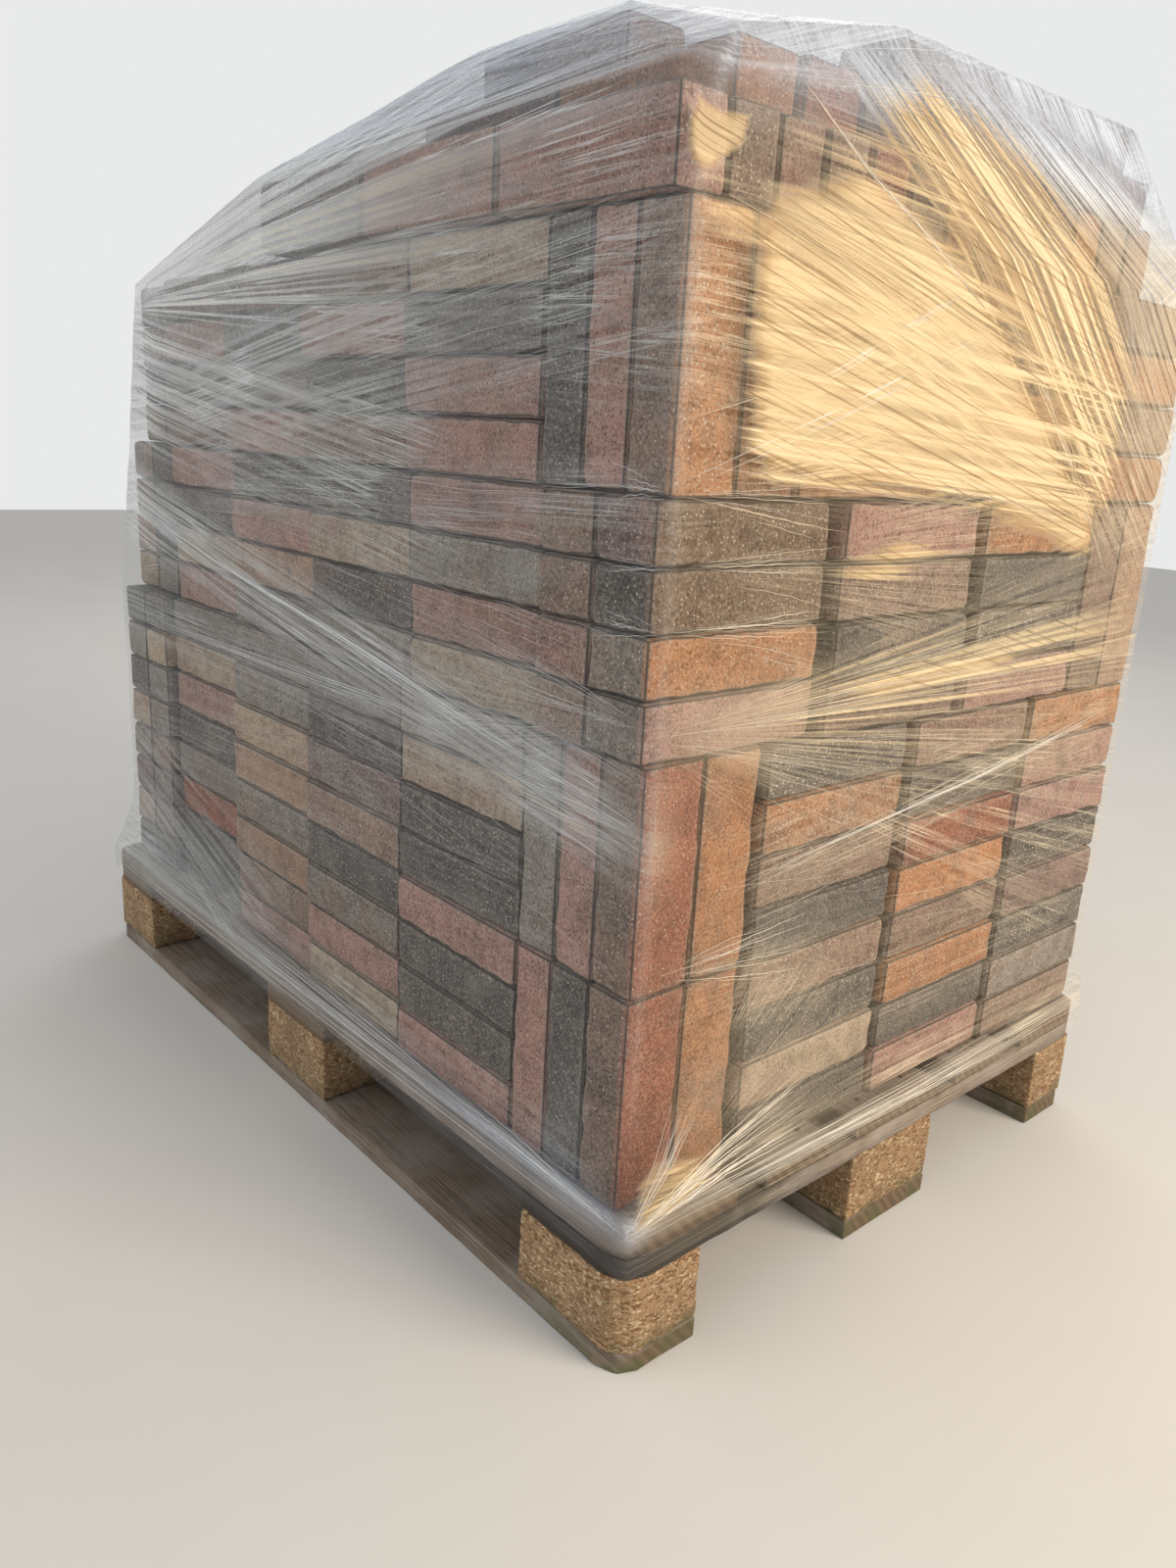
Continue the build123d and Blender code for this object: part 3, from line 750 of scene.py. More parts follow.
class PALLET_OT_lay_bricks(bpy.types.Operator):
    """Lay the tumbled bricks of the four tiers and of the loose layers on top"""
    bl_idname = "pallet.lay_bricks"
    bl_label = "Lay bricks"

    def execute(self, context):
        material = tumbled_concrete()
        known, sunlit_end_faces = written_shades()
        for tier in TIERS:
            nodes = [f"tier_{tier}_{part}" for part in TIER_PARTS]
            lay_bricks(f"bricks_tier_{tier}", nodes, known, sunlit_end_faces, material, 100 + tier)
        lay_bricks("bricks_middle_course", ["tier_4_middle_course"], known, sunlit_end_faces, material, 111)
        lay_bricks("bricks_top", TOP_NODES, known, sunlit_end_faces, material, 120, TOP_SHADES)
        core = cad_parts["brick_core"]
        core.data.materials.clear()
        core.data.materials.append(plain_core())
        return {"FINISHED"}


def bevel_corners(points, bevel):
    """Takes off the pallet's four upright corners."""
    reach = CAD_HIGH.x + CAD_HIGH.y - 3 * MM - bevel
    over = np.abs(points[:, 0]) + np.abs(points[:, 1]) - reach
    points[:, :2] -= np.sign(points[:, :2]) * np.clip(over, 0, None)[:, None] / 2


def wooden_piece(name, nodes, edge, wear, pock, step, material):
    """A piece of worn wood in place of each named CAD node."""
    for number, node in enumerate(nodes):
        low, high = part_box(node)
        along = 0 if high.x - low.x > high.y - low.y else 1
        points, quads, _ = worn_block(low, high, edge, wear, pock, step, 31 + number, 4 * MM)
        bevel_corners(points, settings("pallet").corner_bevel)
        middle = (low[along] + high[along]) / 2
        from_end = high[along] - middle - np.abs(points[:, along] - middle)
        piece = build_object(f"{name}_{node}", points, quads, material,
                             end_grain=(np.abs(from_end) < 0.7 * MM).astype(float))
        offset = 0.37 * (number + 1)
        flat = points[:, 1 - along] + 0.8 * points[:, 2]
        add_uv(piece, "grain", np.stack([points[:, along] + offset, flat + offset], axis=1))
        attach(piece, "root")
        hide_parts(node)


class PALLET_OT_saw_boards(bpy.types.Operator):
    """Saw the deck, cross and skid boards from weathered pine"""
    bl_idname = "pallet.saw_boards"
    bl_label = "Saw boards"

    def execute(self, context):
        s = settings("pallet")
        nodes = [n for n in sorted(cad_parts) if n.split("_")[1] == "board"]
        wooden_piece("pine", nodes, s.board_edge, 0.8, 0.5 * MM, 26 * MM, weathered_pine())
        return {"FINISHED"}


class PALLET_OT_press_blocks(bpy.types.Operator):
    """Press the nine blocks from wood chips"""
    bl_idname = "pallet.press_blocks"
    bl_label = "Press blocks"

    def execute(self, context):
        s = settings("pallet")
        nodes = [n for n in sorted(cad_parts) if n.startswith("block_")]
        wooden_piece("chips", nodes, s.block_edge, 0.9, 0.6 * MM, 9 * MM, pressed_chips())
        return {"FINISHED"}


def nail_heads(start):
    """A flat round head on each point, a little askew."""
    radius = start["Head diameter"] * 0.5
    head = add_node(start.tree, "GeometryNodeMeshCone", {
        "Vertices": 14, "Radius Top": radius * 0.82, "Radius Bottom": radius,
        "Depth": start["Head height"]}, fill_type="NGON")
    tilt = add_node(start.tree, "FunctionNodeRandomValue", {
        0: (-0.12, -0.12, 0.0), 1: (0.12, 0.12, 3.0), "Seed": 5}, data_type="FLOAT_VECTOR")
    return add_node(start.tree, "GeometryNodeInstanceOnPoints", {
        "Points": start, "Instance": head, "Rotation": tilt})


NAIL_HEIGHT = 1.4 * MM
# Where the nails go in a crossing of two boards, as shares of its length and width from the middle.
NAIL_PATTERN = ((-0.30, -0.28), (0.30, 0.28), (-0.28, 0.30), (0.30, -0.26))


class PALLET_OT_drive_nails(bpy.types.Operator):
    """Drive the nails through the deck and the skids into the blocks"""
    bl_idname = "pallet.drive_nails"
    bl_label = "Drive nails"

    def execute(self, context):
        s = settings("pallet")
        height = NAIL_HEIGHT
        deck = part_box("deck_board_1")[1].z - 0.9 * height
        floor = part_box("skid_board_1")[0].z + 0.75 * height
        crossings = [(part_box(f"cross_board_{cross}"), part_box(f"deck_board_{board}"), deck)
                     for board, cross in itertools.product(range(1, 6), range(1, 4))]
        blocks = [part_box(f"block_{row}_{column}")
                  for row, column in itertools.product(range(1, 4), repeat=2)]
        crossings += [(block, block, floor) for block in blocks]
        places = [((0.5 - u) * along[0].x + (0.5 + u) * along[1].x,
                   (0.5 - v) * over[0].y + (0.5 + v) * over[1].y, z)
                  for along, over, z in crossings for u, v in NAIL_PATTERN[:s.nail_count]]
        rust = rusted_steel()
        nails = build_object("nail_heads", places, [], rust)
        grow(nails, "nail heads", rust, {"Head diameter": s.nail_head, "Head height": height},
             nail_heads)
        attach(nails, "root")
        return {"FINISHED"}


# How far above the deck the film leaves the bricks for the pallet's edge.
FLARE_HEIGHT = 0.115
# Where the rows over the top end: how far from the near end, and which share of the way across.
PEAK_FROM_END, PEAK_ACROSS = 0.22, 0.45
# Rows of points on the flare, on the walls and on the top, and the distance between two columns.
FLARE_ROWS, WALL_ROWS, TOP_ROWS = 24, 105, 62
COLUMN_STEP = 12 * MM
# Steps round one corner of the film.
CORNER_STEPS = 5


class FilmShape:
    """Where the tight film lies. A place on it is given by how far it is along the wrap, from the
    near corner along the end, and by how far up, first by height and then over the top."""

    def __init__(self):
        s = settings("film")
        self.gap, self.radius = s.clearance, s.corner_radius
        boxes = np.array([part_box(node) for node in TIER_NODES])
        self.low = boxes[:, 0].min(axis=0) - self.gap
        self.high = boxes[:, 1].max(axis=0) + self.gap
        self.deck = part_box("deck_board_1")[1].z
        self.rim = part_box("stretch_film")[0].z
        self.flare = self.deck + FLARE_HEIGHT
        self.shoulder = self.high[2]
        self.outer = np.array([CAD_HIGH.x, CAD_HIGH.y]) - 0.2 * MM
        self.length, self.width = (self.high - self.low)[:2]
        self.around = 2 * (self.length + self.width)
        self.bend_near_side()
        self.planes = self.hull_planes()
        self.make_ring()
        self.make_grid()

    def bend_near_side(self):
        """How far the long side stands back, by height, at its left corner, at its last column and
        where the loose layer ends. The film there goes straight from one to the next."""
        corner, columns = [], []
        for tier in TIERS:
            groups = columns_of(solids_of(f"tier_{tier}_near_side"), 0, 1)
            places = [(group[0][0][0], min(b[0][1] for b in group)) for group in groups[:5]]
            corner.append(places[0][1] - self.gap - self.low[1])
            columns.append(places[1:])
        corner = np.array(corner)
        last_x = np.mean([tier[0][0] for tier in columns])
        layer_x = min(low[0] for low, high in solids_of("top_layer_on_edge")) - self.gap
        reach = self.high[0] - last_x
        limits = [(face - 1.5 * MM - self.low[1]) * reach / (self.high[0] - x)
                  for tier in columns for x, face in tier]
        last = np.minimum(min(limits), corner * reach / self.length)
        layer = last * (self.high[0] - layer_x) / reach
        layer[-1] = 0.0
        tops = [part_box(f"tier_{tier}_near_side")[1].z for tier in (2, 3)]
        self.bend_heights = np.array([self.flare, *tops, self.shoulder])
        self.bend_x = np.array([self.low[0], last_x, layer_x, self.high[0]])
        self.bend_y = np.array([corner, last, layer, 0 * corner])

    def make_ring(self):
        """Places round the film: their distance along the wrap, where they are on the unit
        square, and which way they face."""
        steps, square, facing = [], [], []
        corners = ((1, -1), (1, 1), (-1, 1), (-1, -1))
        distance = 0.0
        for number, corner in enumerate(corners):
            side = (self.width, self.length)[number % 2]
            following = corners[(number + 1) % 4]
            turn = math.atan2(corner[1], corner[0]) - math.pi / 4
            for angle in np.linspace(0, math.pi / 2, CORNER_STEPS):
                steps.append(distance + (angle / (math.pi / 2) - 0.5) * self.radius)
                square.append(corner)
                facing.append((math.cos(turn + angle), math.sin(turn + angle)))
            count = int(side / COLUMN_STEP)
            for t in np.arange(1, count) / count:
                steps.append(distance + self.radius / 2 + t * (side - self.radius))
                square.append(tuple(a + (b - a) * t for a, b in zip(corner, following)))
                facing.append(facing[-1])
            distance += side
        self.steps, self.square, self.facing = np.array(steps), np.array(square), np.array(facing)

    def hull_planes(self):
        """The planes of the tightest roof over the loose bricks, as slopes and heights."""
        cloud = [(x, self.low[1] + y, self.shoulder) for x, y in zip(self.bend_x, self.bend_y[:, -1])]
        cloud += [(x, self.high[1], self.shoulder) for x in (self.low[0], self.high[0])]
        for low, high in (box for node in TOP_NODES for box in solids_of(node)):
            for x, y in itertools.product((low[0], high[0]), (low[1], high[1])):
                cloud.append((x, y, high[2] + self.gap))
        hull = bmesh.new()
        for point in cloud:
            hull.verts.new(point)
        bmesh.ops.convex_hull(hull, input=hull.verts)
        planes = []
        for face in hull.faces:
            face.normal_update()
            if face.normal.z > 0.02:
                n, p = face.normal, face.verts[0].co
                planes.append((-n.x / n.z, -n.y / n.z, n.dot(p) / n.z))
        hull.free()
        return np.array(planes)

    def roof(self, x, y):
        """The height of the film's top."""
        slope_x, slope_y, height = self.planes.T[:, :, None]
        return np.maximum((slope_x * x + slope_y * y + height).min(axis=0), self.shoulder)

    def wall_row(self, z):
        """The film all round at one height."""
        t = np.clip((self.flare - z) / (self.flare - self.deck - 2 * MM), 0, 1) ** 1.7
        middle = (self.low + self.high)[:2] / 2 * (1 - t)
        half = (self.high - self.low)[:2] / 2 * (1 - t) + self.outer * t
        flat = middle + self.square * (half - self.radius) + self.facing * self.radius
        set_back = [np.interp(z, self.bend_heights, amounts) for amounts in self.bend_y]
        share = np.clip((middle[1] + half[1] - flat[:, 1]) / (2 * half[1]), 0, 1)
        flat[:, 1] += np.interp(flat[:, 0], self.bend_x, set_back) * (1 - t) * share
        return np.column_stack([flat, np.full(len(flat), z)])

    def make_grid(self):
        """The film as rows of points from its rim up to the middle of its top."""
        rows = [self.wall_row(z) for z in np.linspace(self.rim, self.flare, FLARE_ROWS)]
        rows += [self.wall_row(z) for z in np.linspace(self.flare, self.shoulder, WALL_ROWS)[1:]]
        walls, base = len(rows), rows[-1][:, :2]
        peak = np.array([self.high[0] - PEAK_FROM_END, self.low[1] + self.width * PEAK_ACROSS])
        for t in np.linspace(0, 1, TOP_ROWS)[1:-1] ** 1.6:
            flat = base * (1 - t) + peak * t
            rows.append(np.column_stack([flat, self.roof(flat[:, 0], flat[:, 1])]))
        self.grid = np.array(rows)
        self.top = np.array([*peak, self.roof(*peak[:, None])[0]])
        gone = np.linalg.norm(np.diff(self.grid, axis=0), axis=2)
        self.up = np.concatenate([self.grid[:walls, :, 2],
                                  self.shoulder + np.cumsum(gone[walls - 1:], axis=0)])
        after = np.roll(self.grid, -1, axis=1) - np.roll(self.grid, 1, axis=1)
        normal = np.cross(after, np.gradient(self.grid, axis=0))
        self.normal = normal / np.maximum(np.linalg.norm(normal, axis=2, keepdims=True), 1e-9)

    def place(self, s, up):
        """Points on the film and the way it faces there."""
        s = np.mod(s - self.steps[0], self.around) + self.steps[0]
        ring = len(self.steps)
        column = np.interp(s, np.append(self.steps, self.steps[0] + self.around), np.arange(ring + 1))
        first = np.floor(column).astype(int)
        part = column - first
        left, right = first % ring, (first + 1) % ring
        scale = self.up[:, left] * (1 - part) + self.up[:, right] * part
        row = np.clip((scale <= up).sum(axis=0) - 1, 0, len(scale) - 2)
        below, above = (scale[row + k, np.arange(len(row))] for k in (0, 1))
        rise = np.clip((up - below) / (above - below), 0, 1)[:, None]
        part = part[:, None]
        found = []
        for source in (self.grid, self.normal):
            low, high = (source[row + k, left] * (1 - part) + source[row + k, right] * part
                         for k in (0, 1))
            found.append(low * (1 - rise) + high * rise)
        return found


def pairs(row_mm):
    """Places on the film, as pairs, from a row of distances along it and up."""
    return np.array(row_mm).reshape(-1, 2) * MM


def inside(s, up, outline, soft):
    """1 inside a convex outline given anticlockwise, and 0 outside it, with a soft edge."""
    corners = pairs(outline)
    depth = np.full(len(s), 9.0)
    for (x, y), (next_x, next_y) in zip(corners, np.roll(corners, -1, axis=0)):
        size = math.hypot(next_x - x, next_y - y)
        gone = ((next_x - x) * (up - y) - (next_y - y) * (s - x)) / size
        depth = np.minimum(depth, gone)
    return fade(depth, -soft, soft)


# The ways that the film is pulled, with lengths in millimetres. Each flow has a channel, a kind, and
# a source, as its distance along the wrap and up. A fan runs out from the source between two
# angles, and a drift runs straight at one angle, between two lines on either side of it. Then come
# how far it starts and ends and how strongly it shows. Where two flows of one channel meet, both
# fade. A roof flow lies flat over the top, at an angle to the length.
FLOWS = (
    (1, "roof", (0, 0), 7, None, 1080, 1200, 0.9),
    (3, "roof", (300, 0), -6, None, 1060, 1160, 0.5),
    (1, "drift", (180, 1030), -4, (-42, 40), -200, 160, 0.9),
    (1, "fan", (-1200, 945), -5, 26, 0, 1700, 1.0),
    (2, "drift", (-500, 855), 8, (-60, 70), -420, 500, 0.8),
    (3, "drift", (-800, 815), -8, (-90, 70), -450, 500, 1.0),
    (1, "drift", (-450, 740), 2, (-35, 35), -400, 450, 0.8),
    (2, "drift", (-600, 600), -9, (-50, 45), -600, 600, 1.0),
    (3, "drift", (-600, 525), -1, (-40, 25), -600, 580, 0.9),
    (1, "drift", (-600, 400), 3, (-60, 70), -550, 550, 0.35),
    (2, "drift", (-600, 165), 0, (-50, 40), -600, 600, 0.6),
    (3, "drift", (-950, 240), -14, (-60, 100), -250, 300, 0.6),
    (1, "fan", (0, 990), -26, -3, 0, 550, 1.0),
    (2, "drift", (160, 870), 17, (-30, 30), -160, 160, 0.5),
    (3, "drift", (350, 800), -4, (-45, 110), -340, 320, 0.9),
    (2, "drift", (400, 930), -38, (-15, 330), -600, 450, 1.0),
    (2, "fan", (0, 771), -18, 16, 0, 300, 0.8),
    (2, "fan", (0, 718), -14, 10, 0, 600, 0.8),
    (2, "fan", (0, 670), -16, 12, 0, 260, 0.7),
    (1, "fan", (0, 592), -26, 12, 0, 1100, 1.0),
    (3, "drift", (350, 470), 6, (-30, 60), -220, 420, 0.8),
    (3, "drift", (400, 320), 0, (-90, 80), -350, 380, 0.4),
    (2, "fan", (0, 385), -22, 18, 0, 300, 0.6),
    (1, "fan", (0, 150), 3, 60, 0, 400, 1.0),
    (2, "drift", (400, 155), 0, (-50, 45), -400, 420, 1.0),
    (1, "drift", (1600, 600), 4, (-400, 700), -750, 1200, 0.75),
    (2, "drift", (1600, 450), -7, (-300, 300), -750, 1200, 0.55),
)
CHANNELS = (1, 2, 3)


def turned(x, y, degrees):
    """Coordinates along and across a line at that angle."""
    turn = math.radians(degrees)
    return x * math.cos(turn) + y * math.sin(turn), y * math.cos(turn) - x * math.sin(turn)


def flow_of(flow, s, up, flat):
    """The coordinates along and across a flow, and how strongly it shows, for places on the film
    that are also given as they lie seen from above."""
    _, kind, source, angle, other, *ends, weight = flow
    source, start, stop = np.array(source) * MM, *(end * MM for end in ends)
    if kind == "roof":
        return *turned(*(flat - source).T, angle), weight * fade(up + hidden_edge(s), start, stop)
    x, y = s - source[0], up - source[1]
    weight = weight * (1 - fade(up, 1.08, 1.20))
    if kind == "fan":
        away = np.hypot(x, y)
        turn = np.degrees(np.arctan2(y, np.abs(x)))
        reach = np.where((x < 0) & (source[0] == 0), 0.4 * stop, stop)
        mask = within(turn, angle, other, 3) * (1 - fade(away, 0.5 * reach, reach))
        mask = mask * (0.12 + 0.88 * fade(away, start, start + 0.20))
        return away, np.radians(turn) * 0.40, mask * weight
    along, aside = turned(x, y, angle)
    low, high = np.array(other) * MM
    return along, aside, within(aside, low, high, 0.02) * within(along, start, stop, 0.08) * weight


def hidden_edge(s):
    """How much nearer to its edge the top's film turns milky, on the two sides at the back."""
    return 0.08 * (1 - within(s, -1.20, 0.80, 0.05))


def haze_and_glint_at(s, up):
    """How milky the film is, with painted light added: most near the left edge of the long side, where
    wraps overlap, and in a painted glint at the foot of the near corner.
    """
    # Near the left edge the film is milkier partly from more layers and partly from a painted sheen of
    # light at a grazing angle.
    left = 0.40 * within(s, -1.40, -1.02, 0.14) + 0.16 * within(s, -1.40, -0.55, 0.30)
    left = left * (0.55 + 0.45 * fade(up, 0.50, 0.70))
    upper_left = 0.58 * within(s, -1.40, -0.36, 0.34) * fade(up, 0.72, 0.94)
    overlap = 0.22 * bell(up + 0.17 * (s + 0.5), 0.585, 0.05) * within(s, -1.25, 0.02, 0.02)
    on_end = (0.16 + 0.34 * within(s, 0.0, 0.16, 0.06)) * bell(up, 0.595, 0.035)
    on_end = on_end * within(s, 0.0, 0.82, 0.03)
    flared = 0.30 * within(s, -1.30, -0.75, 0.25) * within(up, 0.13, 0.25, 0.04)
    rim = 0.16 * bell(up, 0.152, 0.010) - 0.05 * (1 - fade(up, 0.13, 0.15))
    # A painted glint at the foot of the near corner, and a painted highlight along the foot to the left
    # of it.
    painted_glint = 0.90 * bell(s, 0.0, 0.034) * bell(up, 0.158, 0.012)
    painted_glint += 0.60 * bell(up, 0.157, 0.007) * within(s, -0.26, -0.01, 0.05)
    arris = 0.35 * bell(s, 0.0, 0.003) * fade(up, 0.20, 0.30)
    top = 0.50 * fade(up + hidden_edge(s), 1.00, 1.10)
    top += 0.26 * within(s, 0.04, 0.85, 0.06) * fade(up, 1.04, 1.09)
    far_right = 0.34 * within(s, 0.52, 0.90, 0.14) * fade(up, 0.66, 0.92)
    total = 0.06 + left + upper_left + overlap + on_end + flared + rim + painted_glint + arris + top + far_right
    return np.clip(total, 0, 0.95)


# Where the folds on the end blaze in the low sun. Each place has how strongly, how soft its edge is,
# and its outline, as distances along the wrap and up in turn, in millimetres.
SUNNY_PLACES = (
    (1.0, 26, (73, 800, 100, 778, 420, 766, 600, 775, 330, 975, 185, 1020, 60, 985, 60, 900)),
    (1.0, 20, (360, 800, 440, 755, 590, 712, 645, 715, 615, 780)),
    (0.66, 30, (0, 945, 70, 920, 130, 985, 60, 990, 0, 980)),
    (0.78, 45, (300, 960, 480, 840, 655, 735, 665, 880, 600, 980, 500, 1070, 400, 1110, 290, 1115,
      200, 1080)),
    (0.9, 9, (140, 716, 235, 698, 330, 704, 270, 716)),
    (0.95, 7, (190, 722, 290, 715, 385, 722, 290, 734)),
    (0.8, 8, (260, 745, 480, 735, 600, 700, 520, 752, 380, 770)),
    (1.0, 7, (190, 600, 282, 595, 449, 598, 560, 618, 390, 616, 280, 612)),
    (1.0, 7, (-12, 992, 2, 983, 30, 1008, 38, 1041, -16, 1040)),
    (0.62, 22, (30, 1020, 164, 1005, 245, 988, 350, 975, 300, 1050, 270, 1085, 160, 1066, 60, 1056)),
    (0.42, 40, (20, 560, 700, 560, 760, 650, 400, 640, 20, 620)),
    (0.75, 14, (0, 150, 50, 150, 110, 172, 80, 195, 30, 215, 0, 195)),
)


def sun_at(s, up):
    """How strongly the folds blaze at each place."""
    glow = [weight * inside(s, up, outline, soft * MM) for weight, soft, outline in SUNNY_PLACES]
    corner = -0.022 * fade(up, 0.975, 0.990)
    return np.max(glow, axis=0) * fade(s - corner, -0.006, 0.006) * (1 - fade(s, 0.85, 0.87))


def tint_at(s, up):
    """The film's colour: milky, with painted sunlight making it warmer on the sunny end, and a painted
    reflection of the sky making it bluer on top and in a highlight low beside the near corner.
    """
    film = settings("film")
    # Painted sunlight over the sunny end, and a painted reflection of the sky on top and low beside the
    # near corner.
    warm = 0.75 * within(s, 0.0, 0.80, 0.01) * (1 - fade(up, 1.00, 1.08))
    sky = 0.85 * fade(up, 1.02, 1.12) + 0.9 * within(s, -0.35, 0.02, 0.05) * (1 - fade(up, 0.16, 0.20))
    mixed = [(milk * (1 - warm) + sunlit_straw * warm) * (1 - sky) + blue * sky
             for milk, sunlit_straw, blue in zip(film.milk, film.sunlit_straw, film.sky)]
    return np.column_stack([*mixed, np.ones(len(s))])


class PALLET_OT_wrap_film(bpy.types.Operator):
    """Wrap the stack in one clear skin of stretch film"""
    bl_idname = "pallet.wrap_film"
    bl_label = "Wrap film"

    def execute(self, context):
        wrinkle = settings("film").wrinkle
        shape = FilmShape()
        rows, ring = shape.up.shape
        steps = np.tile(shape.steps, rows)
        steps = np.where(steps > shape.around - shape.length - 0.4, steps - shape.around, steps)
        grid = shape.grid.reshape(-1, 3)
        # The last place is there twice, the second time for the point in the middle of the top.
        steps, up, flat = (np.concatenate([all_places, all_places[-1:]])
                           for all_places in (steps, shape.up.ravel(), grid[:, :2]))
        values = {"haze": haze_and_glint_at(steps, up), "sun": sun_at(steps, up), "tint": tint_at(steps, up)}
        maps = {"wrap": np.column_stack([steps, up])}
        lift = np.full(len(up), 0.25)
        for channel in CHANNELS:
            flow, pull = self.strongest_flow(channel, steps, up, flat)
            drawn = np.column_stack([flow * (0.05, 1.0), 0 * up])
            lift += pull * np.abs(unevenness(drawn, 30 * MM, 12 + channel))
            values[f"pull_{channel}"] = pull
            maps[f"flow_{channel}"] = flow
        lift *= wrinkle * fade(up, shape.rim, shape.deck + 0.01)
        points = grid + shape.normal.reshape(-1, 3) * lift[:-1, None]
        points = np.concatenate([points, [shape.top + (0, 0, wrinkle)]])

        index = np.arange(rows * ring).reshape(rows, ring)
        after = np.roll(index, -1, axis=1)
        quads = np.stack([index[:-1], after[:-1], after[1:], index[1:]], axis=-1).reshape(-1, 4)
        cap = [(*edge, rows * ring) for edge in zip(index[-1], after[-1])]
        skin = build_object("film_skin", points, [*quads, *cap], stretch_film(), **values)
        for name, flow in maps.items():
            add_uv(skin, name, flow)
        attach(skin, "root")
        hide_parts("stretch_film")
        return {"FINISHED"}

    def strongest_flow(self, channel, steps, up, flat):
        """The coordinates of a channel's strongest flow at each place, and how much stronger it is
        than the next."""
        found = np.array([flow_of(flow, steps, up, flat) for flow in FLOWS if flow[0] == channel])
        weights = found[:, 2]
        ordered = np.sort(weights, axis=0)
        strongest = found[weights.argmax(axis=0), :2, np.arange(len(up))]
        return strongest, ordered[-1] - ordered[-2]


# Points along one thread of folded film.
THREAD_POINTS = 13
